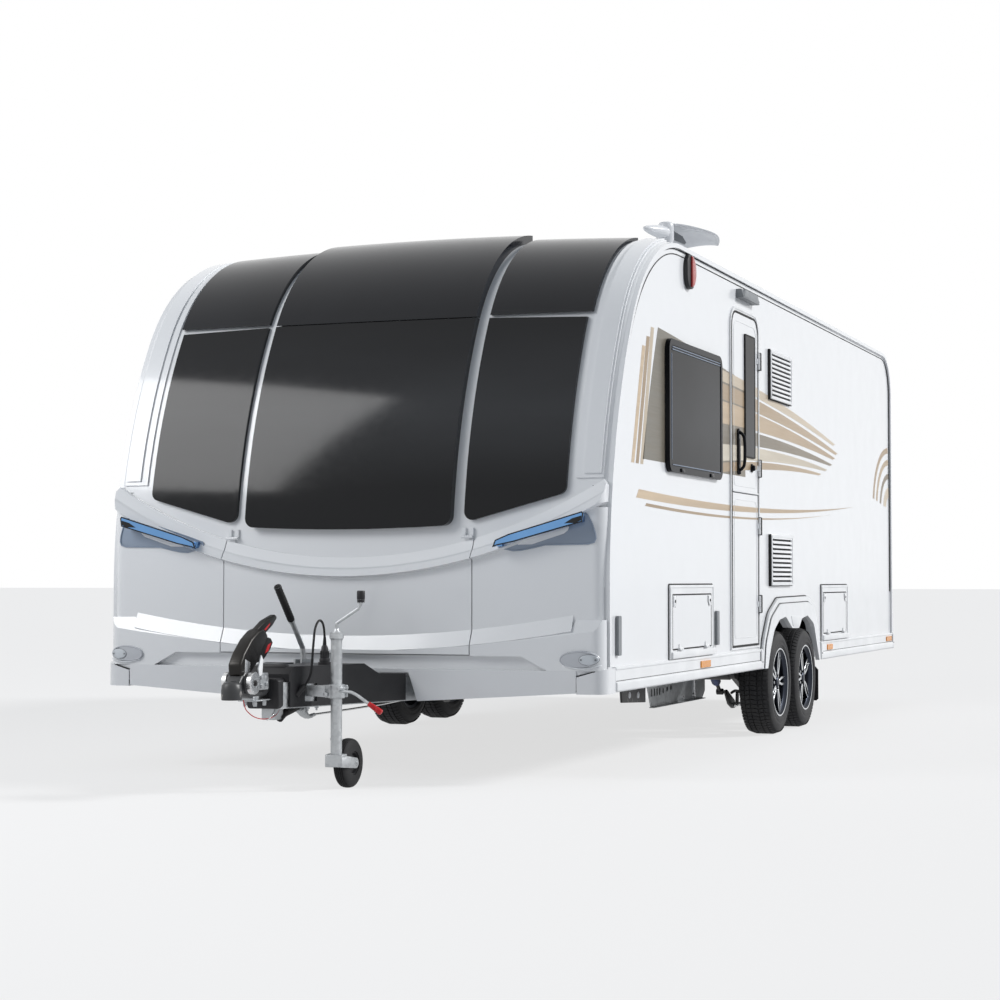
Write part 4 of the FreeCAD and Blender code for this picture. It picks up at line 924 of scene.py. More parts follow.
def coupling():
    """Stabiliser handle, friction discs, wear lever, side plates and gaiter."""
    body = [(-3.9, .49), (-3.905, .54), (-3.872, .584), (-3.806, .64), (-3.745, .672), (-3.706, .682),
            (-3.672, .667), (-3.655, .648), (-3.68, .618), (-3.71, .592), (-3.735, .552), (-3.795, .51),
            (-3.832, .489), (-3.862, .478)]
    shell = outlined(body, "X", -.03, .06, .011, 4)
    grip = outlined([(-3.76, .64), (-3.742, .672), (-3.657, .713), (-3.563, .7375), (-3.548, .731),
                     (-3.545, .72), (-3.586, .69), (-3.632, .668), (-3.69, .64)], "X", -.0135, .027,
                    .006, 3)
    lobe = outlined([(-3.742, .545), (-3.716, .612), (-3.688, .65), (-3.63, .64), (-3.612, .621),
                     (-3.637, .591), (-3.692, .554), (-3.722, .541)], "X", -.002, .0315, .006, 3)
    rib = ((-3.862, .578), (-3.85, .588), (-3.805, .53), (-3.817, .52))
    ribs = [outlined([(y + along, z + along * .83) for y, z in rib], "X", -.0305, .061, .0015, 1)
            for along in (0, .028, .056)]
    piece(joined(shell, grip, lobe, *ribs), "tow_handle_shell", "tow_handle", "black_plastic", HANDLE_BLACK,
          ("coupling_handle",))
    cheek = [(-3.872, .477), (-3.828, .477), (-3.822, .545), (-3.866, .56)]
    cheeks = [outlined(cheek, "X", x, .0035, .001) for x in (-.032, .0285)]
    piece(joined(*cheeks), "tow_handle_cheeks", "tow_handle", "galvanised", STEEL)
    marks = [outlined([(-3.664, .676), (-3.61, .703), (-3.616, .694), (-3.65, .672)], "X", x, .0016,
                      .0004, 1) for x in (.0128, -.0144)]
    marks.append(outlined([(-3.69, .577), (-3.664, .612), (-3.63, .622), (-3.656, .588)], "X", .0292,
                          .0012, .0004, 1))
    piece(joined(*marks), "tow_handle_marks", "tow_handle", "black_plastic", RED)
    disc = spun([(.0465, 0), (.0465, .044), (.049, .0458), (.065, .0458), (.0675, .044),
                 (.0685, .036), (.0672, .02), (.0672, 0)], *BARREL, 56)
    both_hands([disc], "friction_disc", "chrome", STEEL)
    eye = [drum(.0125, (.0665, *BARREL), (.07, *BARREL), 24, .001),
           drum(.0075, (.069, *BARREL), (.0735, *BARREL), 6, .0006)]
    both_hands(eye, "friction_disc_screw", "black_plastic", SEAL_AND_SHADOW)
    lever = outlined([(-3.775, .575), (-3.758, .556), (-3.766, .495), (-3.79, .487), (-3.801, .52)],
                     "X", .052, .006, .0015)
    piece(lever, "wear_lever", BODY, "vent_white")
    plate = [(-3.795, .502), (-3.698, .499), (-3.692, .436), (-3.7, .43), (-3.795, .431)]
    plates = [outlined(plate, "X", x, .004, .001) for x in (.046, -.05)]
    nuts = [drum(.009, (.049, y, z), (.058, y, z), 6, .001)
            for y, z in ((-3.765, .482), (-3.72, .455), (-3.765, .447))]
    piece(joined(*plates, *nuts), "coupling_side_plates", BODY, "galvanised")
    fold = [(0, .027), (.004, .0295), (.01, .0295), (.014, .027)]
    gaiter = [faced_aft(spun(fold, 0, 0, 36), 0, -3.664 + i * .0165, .443) for i in range(5)]
    piece(joined(*gaiter), "coupling_gaiter", BODY, "cable_black")


def under_the_neck():
    """Galvanised block, brackets, bolts, brake knuckle and rod."""
    shapes = [block(-.032, .032, -3.6, -3.52, .296, .383, .006, 3),
              block(-.04, .04, -3.795, -3.53, .383, .3885, .0015),
              block(-.034, .034, -3.8, -3.745, .388, .405, .003)]
    shapes += [drum(.0085, (x, y, .362), (x, y, .386), 6, .001) for x in (-.022, .024)
               for y in (-3.765, -3.68, -3.628)]
    for x, y in ((.05, -3.325), (.052, -3.24), (-.05, -3.3)):
        shapes += [drum(.0095, (x, y, .328), (x, y, .349), 6, .001),
                   drum(.0045, (x, y, .318), (x, y, .366), 14, .0006)]
    shapes.append(block(-.085, .085, -3.35, -3.215, .3445, .3505, .0015))
    piece(joined(*shapes), "neck_block_and_bolts", BODY, "galvanised")
    boot = bar([(.02, -3.535, .298), (.022, -3.5, .32), (.024, -3.43, .33), (.028, -3.372, .345)],
               .017)
    piece(boot, "brake_boot", BODY, "cable_black")
    claw = outlined([(-3.372, .334), (-3.33, .338), (-3.286, .3), (-3.25, .3), (-3.25, .286),
                     (-3.29, .284), (-3.33, .296), (-3.372, .318)], "X", .016, .026, .004)
    pins = [drum(.011, (.008, -3.352, .326), (.05, -3.352, .326), 24, .001),
            drum(.0085, (.03, -3.262, .294), (.03, -3.216, .2975), 6, .001)]
    piece(joined(claw, *pins), "brake_knuckle", BODY, "galvanised")
    rod = bar([(.03, -3.225, .298), (.03, -2.9, .2985), (.025, -2.3, .305), (.01, -1.72, .33)], .0048)
    piece(rod, "brake_rod", BODY, "galvanised", STEEL)
    hook = bar([(.034, -3.6, .35), (.052, -3.64, .336), (.056, -3.69, .312), (.042, -3.7, .3),
                (.036, -3.655, .306), (.04, -3.618, .33)], .0022)
    piece(hook, "safety_clip", BODY, "galvanised", STEEL)


def brake_lever():
    """Ribbed black grip on the handbrake lever's upper half."""
    low, high = Vector((-.06, -3.2616, .7065)), Vector((-.06, -3.3985, .8555))
    run = (high - low).normalized()
    parts = [drum(.0158, low, high, 28, .0035), drum(.017, high - run * .016, high, 28, .004)]
    first, pitch, width = .012, .0155, .0085
    for i in range(11):
        at = low + run * (first + pitch * i)
        parts.append(drum(.0168, at, at + run * width, 24, .0018))
    piece(joined(*parts), "brake_lever_grip", "brake_lever", "black_plastic", SEAL_AND_SHADOW)
    foot = drum(.0135, low - run * .012, low + run * .001, 24, .002)
    piece(foot, "brake_lever_collar", "brake_lever", "galvanised")


JOCKEY_X, JOCKEY_Y = .252, -3.465                   # axis of the mast
ROLLER = (-3.345, .105)                             # axle of the jockey wheel: y, z


def jockey_mast():
    """Knob of the crank and collar of the mast, which rise with the post."""
    x, y = JOCKEY_X, JOCKEY_Y
    knob = joined(drum(.0158, (.364, y, .786), (.364, y, .8), 8, .002, .0175),
                  drum(.0185, (.364, y, .799), (.364, y, .8385), 8, .005))
    piece(knob, "jockey_knob", "jockey_post", "black_plastic")
    collar = spun([(0, 0), (0, .0225), (.004, .0245), (.01, .0245), (.0145, .03), (.029, .03),
                   (.0335, .026), (.039, .021), (.046, .0125), (.056, .0095), (.056, 0)], 0, 0, 40)
    lug = block(x - .027, x + .027, y - .0045, y + .0045, .208, .22, .002)
    seam = block(x + .0232, x + .0248, y - .003, y + .003, .245, .615, .0008)
    piece(joined(stood_up(collar, x, y, .622), seam, lug), "jockey_mast_collar", "jockey_post",
          "galvanised")


def jockey_clamp():
    """Jaws of the clamp on the drawbar, and its lever with a red grip."""
    x, y = JOCKEY_X, JOCKEY_Y
    arm = outlined([(.122, .392), (.122, .438), (.17, .438), (.215, .441), (.215, .389), (.17, .392)],
                   "Y", y - .024, .048, .004)
    ring = spun([(.386, .0248), (.386, .033), (.389, .036), (.441, .036), (.444, .033),
                 (.444, .0248)], 0, 0, 40)
    stem = bar([(x + .026, y - .03, .416), (x + .06, y - .03, .4165), (x + .092, y - .028, .412),
                (x + .15, y - .026, .374), (x + .186, y - .025, .35)], .0066)
    jaws = [arm, stood_up(ring, x, y), stem]
    jaws += [block(x - .0385, x + .0385, y + near, y + near + .0065, .389, .441, .003)
             for near in (-.034, .0275)]
    for at, z in ((x + .031, .428), (x - .031, .402)):
        jaws += [drum(.0065, (at, y - .042, z), (at, y + .042, z), 20, .001),
                 drum(.011, (at, y - .046, z), (at, y - .036, z), 6, .0012)]
    piece(joined(*jaws), "jockey_clamp_jaws", BODY, "galvanised", None, ("jockey_clamp",))
    a, b = Vector((x + .16, y - .0258, .3672)), Vector((x + .218, y - .0245, .33))
    grip = joined(drum(.0098, a, a + (b - a) * .55, 28, .002, .0122),
                  drum(.0122, a + (b - a) * .54, b, 28, .0045, .0128))
    piece(grip, "jockey_clamp_grip", BODY, "black_plastic", RED)


def jockey_wheel():
    """Fork straps with their bolts, ribbed solid tyre and its hub."""
    x, y = JOCKEY_X, JOCKEY_Y
    axle = ROLLER[0]
    strap = [(y - .026, .0975), (y - .026, .14), (y + .03, .1415), (axle + .006, .1275),
             (axle + .018, .118), (axle + .02, .1), (axle + .012, .087), (axle - .004, .0835)]
    fork = []
    for side in (1, -1):
        fork += [drum(.0115, (x + side * .0355, *ROLLER), (x + side * .0425, *ROLLER), 6, .0015),
                 drum(.006, (x + side * .042, *ROLLER), (x + side * .0465, *ROLLER), 20, .001),
                 outlined(strap, "X", x + side * .0345, side * .0055, .0018)]
    fork += [drum(.0188, (x, y, .15), (x, y, .2195), 40, .001),
             block(x - .0395, x + .0395, y - .0255, y + .0255, .137, .152, .004),
             block(x - .0395, x + .0395, y - .0275, y - .0225, .098, .15, .002),
             drum(.0078, (x - .04, *ROLLER), (x + .04, *ROLLER), 24, .001)]
    piece(joined(*fork), "jockey_fork_straps", "jockey_caster", "galvanised", None, ("jockey_fork",))
    half = [(.0305, .05), (.031, .066), (.03, .08), (.0265, .0925), (.0215, .0995), (.018, .102),
            (.017, .099), (.0155, .099), (.0145, .103), (.01, .1042), (.009, .101),
            (.0075, .101), (.0065, .1046), (.002, .1049), (.0012, .1015)]
    tyre = spun(both_flanks(x, half) + [(x - .022, .047), (x + .022, .047)], *ROLLER, 64)
    piece(tyre, "jockey_tyre", "jockey_roller", "solid_rubber", None, ("jockey_wheel",))
    half = [(-.03, .0092), (-.03, .02), (-.014, .024), (-.014, .04), (-.025, .044),
            (-.025, .05)]
    piece(spun(both_flanks(x, half), *ROLLER, 40), "jockey_hub", "jockey_roller", "black_plastic")


def both_flanks(x, half):
    """Profile that is the same on either side of a wheel's middle."""
    return [(x + a, r) for a, r in half] + [(x - a, r) for a, r in reversed(half)]


# ---- rear -----------------------------------------------------------------
REAR = 3.94                                         # outer face of the rear panel


def rear_window():
    """Dark frame with its two catches."""
    frame_shape = banded(round_box(-.479, .479, 1.421, 1.959, .055), .03, "Y", REAR + .0195, .0035)
    catches = [outlined(round_box(x - .03, x + .03, 1.427, 1.445, .006), "Y", REAR + .0225, .005)
               for x in (-.26, .26)]
    piece(joined(frame_shape, *catches), "rear_window_frame", BODY, "window_dark", NAVY)


def rear_lamps():
    """A column of round lenses over a reflector triangle on either side."""
    shells = [outlined(round_box(1.06, 1.19, .7, 1.3, .02), "Y", REAR, .03, .006, 3),
              banded(round_box(1.062, 1.188, .702, 1.298, .019), .008, "Y", REAR + .026, .0075, .002)]
    reds, ambers, clears = [], [], []
    for z, r, kept in ((1.215, .046, reds), (1.095, .046, ambers), (.975, .046, reds),
                       (.858, .042, clears)):
        ring = [(0, r), (.003, r + .0035), (.006, r + .003), (.007, r - .001), (.004, r - .002)]
        glass = [(0, 0), (0, r - .0015), (.0045, r - .003), (.0075, r - .012), (.0085, 0)]
        for profile, into in ((ring, shells), (glass, kept)):
            into.append(faced_aft(spun(profile, 0, 0, 40), 1.125, REAR + .0285, z))
    reds.append(outlined([(1.084, .722), (1.166, .722), (1.125, .796)], "Y", REAR + .0285, .006, .0015))
    both_hands(shells, "rear_lamp_shell", "vent_white", None, ("rear_lamps",))
    both_hands(reds, "rear_lamp_red", "lamp_red")
    both_hands(ambers, "rear_lamp_amber", "lamp_amber")
    both_hands(clears, "rear_lamp_clear", "lamp_clear")
    seal = banded(round_box(1.056, 1.194, .696, 1.304, .023), .006, "Y", REAR, .0022, 0)
    both_hands([seal], "rear_lamp_seal", "black_plastic", SEAL_AND_SHADOW)


def rear_trim():
    """High brake lamp, blank plate, grab handles, bumper lines and mouldings."""
    strip = outlined(round_box(-.2, .2, 2.13, 2.165, .01), "Y", REAR, .0135, .004, 3)
    piece(strip, "high_brake_lamp", BODY, "lamp_red")
    back = outlined(round_box(-.29, .29, .69, .83, .018), "Y", REAR, .008, .003)
    lamps = [block(x - .03, x + .03, REAR, REAR + .03, .834, .856, .005, 3) for x in (-.16, .16)]
    piece(joined(back, *lamps), "plate_carrier", BODY, "black_plastic")
    plate = outlined(round_box(-.262, .262, .704, .816, .008), "Y", REAR + .0075, .0025, .0008)
    piece(plate, "blank_plate", BODY, "vent_white")
    x, low, high = .9, .78, 1.18
    grip = bar([(x, REAR + out, z) for out, z in
                ((-.002, low), (.026, low + .012), (.029, low + .06), (.029, (low + high) / 2),
                 (.029, high - .06), (.026, high - .012), (-.002, high))], .0095)
    feet = [drum(.021, (x, REAR, z), (x, REAR + .006, z), 28, .002) for z in (low, high)]
    both_hands([grip, *feet], "rear_grab_handle", "chrome")
    lines = [block(-1.19, 1.19, REAR + .0335, REAR + .0355, .52, .5245, .0006, 1),
             block(-.62, .62, REAR + .0335, REAR + .0355, .612, .6155, .0006, 1)]
    lines += [block(x - .0018, x + .0018, REAR + .0335, REAR + .0355, .402, .628, .0006, 1)
              for x in (-.93, .93)]
    piece(joined(*lines), "bumper_lines", BODY, "black_plastic", SEAL_AND_SHADOW)
    mouldings = [banded(round_box(-.86, .86, 1.3, 2.06, .12), .012, "Y", REAR - .0005, .006, .002),
                 block(-1.05, 1.05, REAR, REAR + .01, .672, .684, .004)]
    piece(joined(*mouldings), "rear_panel_mouldings", BODY, "vent_white")


# ---- roof -----------------------------------------------------------------
# Centre x, y and half sizes.
ROOFLIGHTS = ((0, -.7, .35, .25), (0, 1.5, .2, .2), (.35, 3.0, .2, .2))


def rooflights():
    """Frames, smoked domes and the seals between them."""
    frames, domes, seals = [], [], []
    for x, y, dx, dy in ROOFLIGHTS:
        def outline(inset, radius):
            return round_box(x - dx + inset, x + dx - inset, y - dy + inset, y + dy - inset, radius)
        frames.append(banded(outline(0, .055), .036, "Z", 2.515, .062, .008))
        domes.append(outlined(outline(.014, .05), "Z", 2.575, .05, .024, 4))
        seals.append(banded(outline(.01, .052), .012, "Z", 2.5745, .0035, 0))
    piece(joined(*frames), "rooflight_frames", BODY, "vent_white")
    piece(joined(*domes), "rooflight_domes", BODY, "lamp_clear", SMOKED)
    piece(joined(*seals), "rooflight_seals", BODY, "black_plastic", SEAL_AND_SHADOW)


AERIAL_AT, AERIAL_TURN = (1.05, -1.245, 2.7), -16   # top of its hub; degrees


def placed_on_roof(obj):
    """From the aerial's own axes to its place over the nearside edge."""
    obj.rotation_euler, obj.location = in_radians(0, 0, AERIAL_TURN), AERIAL_AT
    return outwards(settle(obj))


def aerial():
    """Round hub, fat blade forwards and a wide drooping wing rearwards."""
    hub = spun([(0, 0), (0, .026), (-.003, .0335), (-.01, .0385), (-.03, .0405), (-.09, .0405),
                (-.1, .036), (-.215, .036), (-.215, 0)], 0, 0, 40)
    blade = spun([(0, 0), (0, .036), (.04, .0385), (.09, .035), (.14, .0275), (.18, .0185),
                  (.203, .009), (.21, 0)], 0, 0, 32)
    blade.rotation_euler, blade.scale = (math.radians(1), 0, -math.pi / 2), (1, 1, .86)
    blade.location = (0, 0, -.056)
    settle(blade)
    fin = outlined([(.02, -.075), (.175, -.092), (.185, -.08), (.15, -.052), (.03, -.03)], "X", -.006,
                   .012, .003)
    piece(placed_on_roof(joined(stood_up(hub, 0, 0), outwards(blade))), "aerial_hub", BODY, "front_grey",
          None, ("roof_fittings",))
    piece(placed_on_roof(fin), "aerial_fin", BODY, "front_grey", LAMP_GREY)
    bpy.ops.mesh.primitive_grid_add(x_subdivisions=14, y_subdivisions=12, size=2)
    wing = bpy.context.object
    for vertex in wing.data.vertices:               # u across, -1 to 1; v from the hub, 0, to the tip, 1
        u, v = vertex.co.x, (vertex.co.y + 1) / 2
        wide = (.046 + .14 * math.sin(min(1, v * 1.35) * math.pi / 2)) * (1 - .32 * v ** 5)
        vertex.co = (u * wide, .026 + .33 * v - .05 * u * u * v, -.004 - .048 * (u * wide / .186) ** 2
                     - .066 * max(0, (v - .5) / .5) ** 2)
    modify(wing, "SOLIDIFY", thickness=.009, offset=-1)
    bevelled(outwards(wing), .0025, 2)
    piece(placed_on_roof(wing), "aerial_wing", BODY, "front_grey")


# ---- sides ----------------------------------------------------------------
DOOR_FACE = 1.231                                   # outer face of the door's leaves
DOOR_EDGE = (-.635, -.065, .53, 2.318)              # door opening: y0, y1, z0, z1
DOOR_SPLIT = 1.35                                   # height of the gap between the leaves
# Name, side, y0, y1, z0, z1 and, for a hatch, the body of its lid.
HATCHES = [("front_nearside", 1, -1.823, -1.028, .502, .858, "hatch_nearside_front"),
           ("rear_nearside", 1, 1.559, 2.353, .502, .85, "hatch_nearside_rear"),
           ("offside", -1, 1.9, 2.45, .502, .85, "hatch_offside")]
SIDE_WINDOWS = [("nearside", 1, -1.871, -.887, 1.398, 2.04),
                ("offside_front", -1, -1.871, -.887, 1.398, 2.04),
                ("offside_middle", -1, .12, 1.12, 1.45, 2.04),
                ("offside_rear", -1, 2.7, 3.2, 1.6, 2.04)]
NEARLY_HALF = .48                                   # of a side, that the rounding of its end may take
ARCH_OUTER = [(-.031, .393), (.001, .543), (.139, .698), (.358, .783), (1.121, .789), (1.281, .752),
              (1.439, .568), (1.483, .393)]        # joints round the wheel arch: y, z
ARCH_INNER = [(.009, .393), (.037, .529), (.165, .671), (.371, .749), (1.111, .754), (1.258, .719),
              (1.401, .553), (1.441, .393)]


def eased_line(points, radius, steps=5):
    """Open line with its corners rounded."""
    path = [Vector(points[0])]
    for a, b, c in zip(points, points[1:], points[2:]):
        b = Vector(b)
        back, on = (Vector(a) - b), (Vector(c) - b)
        half = back.angle(on) / 2
        reach = min(radius / math.tan(half), back.length * NEARLY_HALF, on.length * NEARLY_HALF)
        start, end = b + back.normalized() * reach, b + on.normalized() * reach
        path += [start * (1 - t) ** 2 + b * 2 * t * (1 - t) + end * t * t
                 for t in (i / steps for i in range(steps + 1))]
    return path + [Vector(points[-1])]


def kept_between(obj, low, high, axis):
    """Cut a shape off below and above two places along an axis."""
    normal = AXIS[axis]
    for place, outer in ((low, False), (high, True)):
        with editing(obj):
            bpy.ops.mesh.select_all(action="SELECT")
            bpy.ops.mesh.bisect(plane_co=normal * place, plane_no=normal, use_fill=True,
                                clear_inner=not outer, clear_outer=outer)
    return outwards(obj)


def window_trim():
    """Dark frame, catches and printed lines of each side window."""
    for name, side, y0, y1, z0, z1 in SIDE_WINDOWS:
        face = SIDE + .02
        frame = banded(round_box(y0 + .001, y1 - .001, z0 + .001, z1 - .001, .054), .03, "X", face, .0035)
        lines = [block(face, face + .0052, y0 + .05, y1 - .05, z, z + .005, .001, 1)
                 for z in (z0 + .034, z1 - .042, z1 - .054)]
        edge = block(face, face + .005, y0 + .034, y0 + .04, z0 + .06, z1 - .07, .001, 1)
        catch = [outlined(round_box(y - .03, y + .03, z0 + .006, z0 + .024, .006), "X", face + .003, .006)
                 for y in (y0 + .22, y1 - .22)]
        piece(to_side(joined(frame, *catch), side), f"window_frame_{name}", BODY, "window_dark", NAVY)
        piece(to_side(joined(edge, *lines), side), f"window_lines_{name}", BODY, "window_dark", PALE_EDGE)


def hatch_trim():
    """Frame, seals that are partly painted shadow in the gaps, corner latches and key barrels of each
    locker hatch.
    """
    for name, side, y0, y1, z0, z1, body in HATCHES:
        face = SIDE + .008
        # Dark bands round the frame and round the lid: partly seals, partly painted shadow in the gaps.
        seal = banded(round_box(y0 - .007, y1 + .007, z0 - .005, z1 + .007, .014), .009, "X", SIDE, .003)
        gap = banded(round_box(y0 + .043, y1 - .043, z0 + .043, z1 - .043, .01), .0045, "X", face - .001,
                     .0018, 0)
        strip = block(face, face + .013, y0 + .012, y1 - .012, z0 + .003, z0 + .036, .0045, 3)
        rim = banded(round_box(y0 + .004, y1 - .004, z0 + .004, z1 - .004, .012), .01, "X", face - .001,
                     .0045, .0015)
        piece(to_side(joined(seal, gap), side), f"hatch_seal_and_shadow_{name}", BODY, "door_white", SEAL_AND_SHADOW)
        piece(to_side(joined(strip, rim), side), f"hatch_frame_{name}", BODY, "vent_white")
        corners, keys = [], []
        for y, inward in ((y0 + .056, 1), (y1 - .056, -1)):
            plan = [(y, z1 - .054), (y + inward * .052, z1 - .054), (y + inward * .052, z1 - .082),
                    (y + inward * .03, z1 - .104), (y, z1 - .104)]
            corners.append(outlined(plan, "X", face - .001, .005, .0012))
            at = (y + inward * .022, z1 - .078)
            keys.append(drum(.0075, (face + .0035, *at), (face + .0062, *at), 20, .0008))
            keys.append(outlined([(y + inward * .054, z1 - .053), (y + inward * .058, z1 - .053),
                                  (y + inward * .058, z1 - .084), (y + inward * .034, z1 - .109),
                                  (y + inward * .031, z1 - .106), (y + inward * .054, z1 - .082)],
                                 "X", face - .001, .0018, 0))
        piece(to_side(joined(*corners), side), f"hatch_latches_{name}", body, "door_white")
        piece(to_side(joined(*keys), side), f"hatch_keys_{name}", body, "black_plastic", SEAL_AND_SHADOW)


def door_trim():
    """Seal, partly painted shadow in the gap, hinge covers, rim and mouldings of the two-part door."""
    y0, y1, z0, z1 = DOOR_EDGE
    # Black ring round the opening: partly the door's seal, partly painted shadow in the gap round the
    # leaves.
    seal = banded(round_box(y0 - .007, y1 + .004, z0 - .007, z1 + .007, .094, .012), .0105, "X", DOOR_FACE,
                  .003)
    covers = [block(DOOR_FACE + .0006, DOOR_FACE + .0172, y1 + .0075, y1 + .028, z - .05, z + .05, .004,
                    3) for z in (.75, 1.18, 1.5, 2.095)]
    piece(kept_between(seal, -3, y1 - .003, "Y"), "door_seal_and_shadow", BODY, "door_white", SEAL_AND_SHADOW)
    piece(joined(*covers), "door_hinge_covers", BODY, "black_plastic")
    rim = banded(round_box(y0 - .027, y1 + .027, z0 - .019, z1 + .027, .117, .014), .011, "X",
                 DOOR_FACE - .001, .004, .0014)
    piece(rim, "door_frame_rim", BODY, "vent_white")
    panels = (("lower", z0 + .04, DOOR_SPLIT - .035, .04), ("upper", DOOR_SPLIT + .035, z1 - .045, .06))
    for name, low, high, r in panels:
        line = banded(round_box(y0 + .042, y1 - .042, low, high, r, .03), .0035, "X", DOOR_FACE - .0005,
                      .0022, .0008)
        piece(line, f"door_{name}_moulding", f"door_{name}_leaf", "door_white")
    waist = block(DOOR_FACE - .001, DOOR_FACE + .0035, y0 + .007, y1 - .007, DOOR_SPLIT + .0035,
                  DOOR_SPLIT + .012, .0012)
    piece(waist, "door_waist_strip", "door_upper_leaf", "vent_white")


def door_furniture():
    """Edge of the door's pane, its handle and the knob of its lock."""
    rubber_edge = banded(round_box(-.372, -.158, 1.548, 2.218, .01), .008, "X", DOOR_FACE, .0098)
    piece(rubber_edge, "door_window_edge", "door_upper_leaf", "window_dark", SEAL_AND_SHADOW)
    plate = outlined(round_box(-.532, -.48, 1.446, 1.694, .02), "X", DOOR_FACE, .01, .003)
    dish = outlined(round_box(-.522, -.49, 1.5, 1.64, .014), "X", DOOR_FACE + .01, .0015, .0006)
    grip = bar([(1.238, -.506, 1.468), (1.262, -.507, 1.48), (1.269, -.508, 1.52), (1.27, -.509, 1.57),
                (1.269, -.508, 1.625), (1.262, -.507, 1.662), (1.238, -.506, 1.676)], .0085)
    button = drum(.008, (1.24, -.506, 1.456), (1.2465, -.506, 1.456), 24)
    piece(joined(plate, dish, grip, button), "door_handle_grip", "door_upper_leaf", "black_plastic", NAVY,
          ("door_handle",))
    near, middle, far = ((DOOR_FACE + out, -.215, 1.495) for out in (0, .007, .022))
    knob = joined(drum(.024, near, middle, 32, .002), drum(.017, middle, far, 32, .003, .014))
    piece(knob, "door_lock", "door_upper_leaf", "black_plastic", NAVY)


SLATS = 10                                          # in each fridge vent


def vent_trim():
    """Slats, rim and shadow gaps of the two fridge vents."""
    for name, z0, z1 in (("upper", 1.911, 2.193), ("lower", .851, 1.141)):
        levels = [z0 + i * (z1 - z0 - .03) / SLATS for i in range(SLATS)]
        gaps = [block(SIDE + .0058, SIDE + .0075, .235, .702, z + .0203, z + .0317, .0003, 1)
                for z in levels]
        gaps += [block(SIDE, SIDE + .0152, .1985, .2042, z0 - .002, z1 + .001, .0015),
                 block(SIDE, SIDE + .014, .2, .733, z0 - .004, z0 + .0005, .0015)]
        piece(joined(*gaps), f"vent_shadow_gaps_{name}", BODY, "black_plastic", SEAL_AND_SHADOW)
        slats = [outlined([(SIDE + .0155, z + .032), (SIDE + .0195, z + .0305), (SIDE + .02, z + .033),
                           (SIDE + .0165, z + .0415), (SIDE + .0155, z + .0415)], "Y", .232, .473, .0004, 1)
                 for z in levels]
        rim = banded(round_box(.206, .731, z0 + .002, z1 - .002, .012), .014, "X", SIDE + .0155, .0035)
        piece(joined(rim, *slats), f"vent_louvres_{name}", BODY, "vent_white")


def side_lamps():
    """Marker lamp high on each side, and the awning lamp over the door."""
    y, z = -1.472, 2.406
    base = outlined(round_box(y - .07, y + .07, z - .086, z + .086, .067), "X", SIDE - .005, .0272,
                    .004, 3)
    half = [(y - .012 + .073 * math.sin(i * math.pi / 16), z + .078 * math.cos(i * math.pi / 16))
            for i in range(17)]
    both_hands([base], "marker_base", "black_plastic")
    both_hands([outlined(half, "X", SIDE + .02, .0115, .005, 3)], "marker_lens", "lamp_red")
    lamp = outlined([(-.512, 2.398), (-.148, 2.398), (-.19, 2.447), (-.47, 2.447)], "X", SIDE, .0405,
                    .003)
    top = outlined([(-.5, 2.405), (-.38, 2.405), (-.395, 2.442), (-.462, 2.442)], "X", SIDE + .04,
                   .002)
    piece(joined(lamp, top), "awning_lamp_body", BODY, "front_grey", LAMP_GREY)


def skirts():
    """Rolls along the skirts, with their end caps, screws and dark lines."""
    rolls, lines, screws = [], [], []
    for y0, y1 in ((-2.696, -.032), (1.484, 3.933)):
        rolls += [block(SIDE + .004, SIDE + .0232, y0, y1, .391, .436, .0095, 4),
                  block(SIDE + .01, SIDE + .018, y0, y1, .486, .4995, .0035, 3)]
        lines.append(block(SIDE + .014, SIDE + .016, y0, y1, .4375, .44, .0005, 1))
    for y0, y1, line in ((-.066, -.03, -.069), (1.482, 1.514, 1.514), (3.902, 3.9345, 3.899)):
        middle = (y0 + y1) / 2
        rolls.append(block(SIDE + .002, SIDE + .0248, y0, y1, .3902, .4995, .008, 4))
        screws.append(drum(.0055, (SIDE + .024, middle, .43), (SIDE + .0262, middle, .43), 20, .0006))
        lines.append(block(SIDE + .0135, SIDE + .017, line, line + .003, .392, .498, .0005, 1))
    both_hands(rolls, "skirt_roll", "vent_white")
    both_hands(lines + screws, "skirt_lines", "black_plastic", SEAL_AND_SHADOW)


def arches_and_rail():
    """Lines beside the awning rail, and the seals and tooth of the wheel arch."""
    both_hands([rail_line(SIDE + .0008, inset) for inset in (.031, .056)], "awning_rail_line",
               "black_plastic", SEAL_AND_SHADOW)
    tooth = outlined([(.69, .612), (.845, .608), (.9, .668), (.64, .674)], "X", SIDE + .0245, .0035,
                     .002)
    both_hands([tooth], "arch_tooth", "vent_white")
    rims = [bar([(SIDE + out, y, z) for y, z in eased_line(joints, rounding)], radius, 2)
            for out, joints, rounding, radius in ((.002, ARCH_OUTER, .19, .003),
                                                  (.0192, ARCH_INNER, .16, .0022))]
    both_hands(rims, "arch_seal", "black_plastic", SEAL_AND_SHADOW)


# Arcs of the awning rail: y and z of the centre, radius.
BOW_ARC, BROW_ARC, TAIL_ARC = (-.435, .85, 2.35), (-1.6268, 1.5626, .9614), (3.64, 2.224, .3)
BOW = 30.88                                         # degrees from level at which the brow takes over


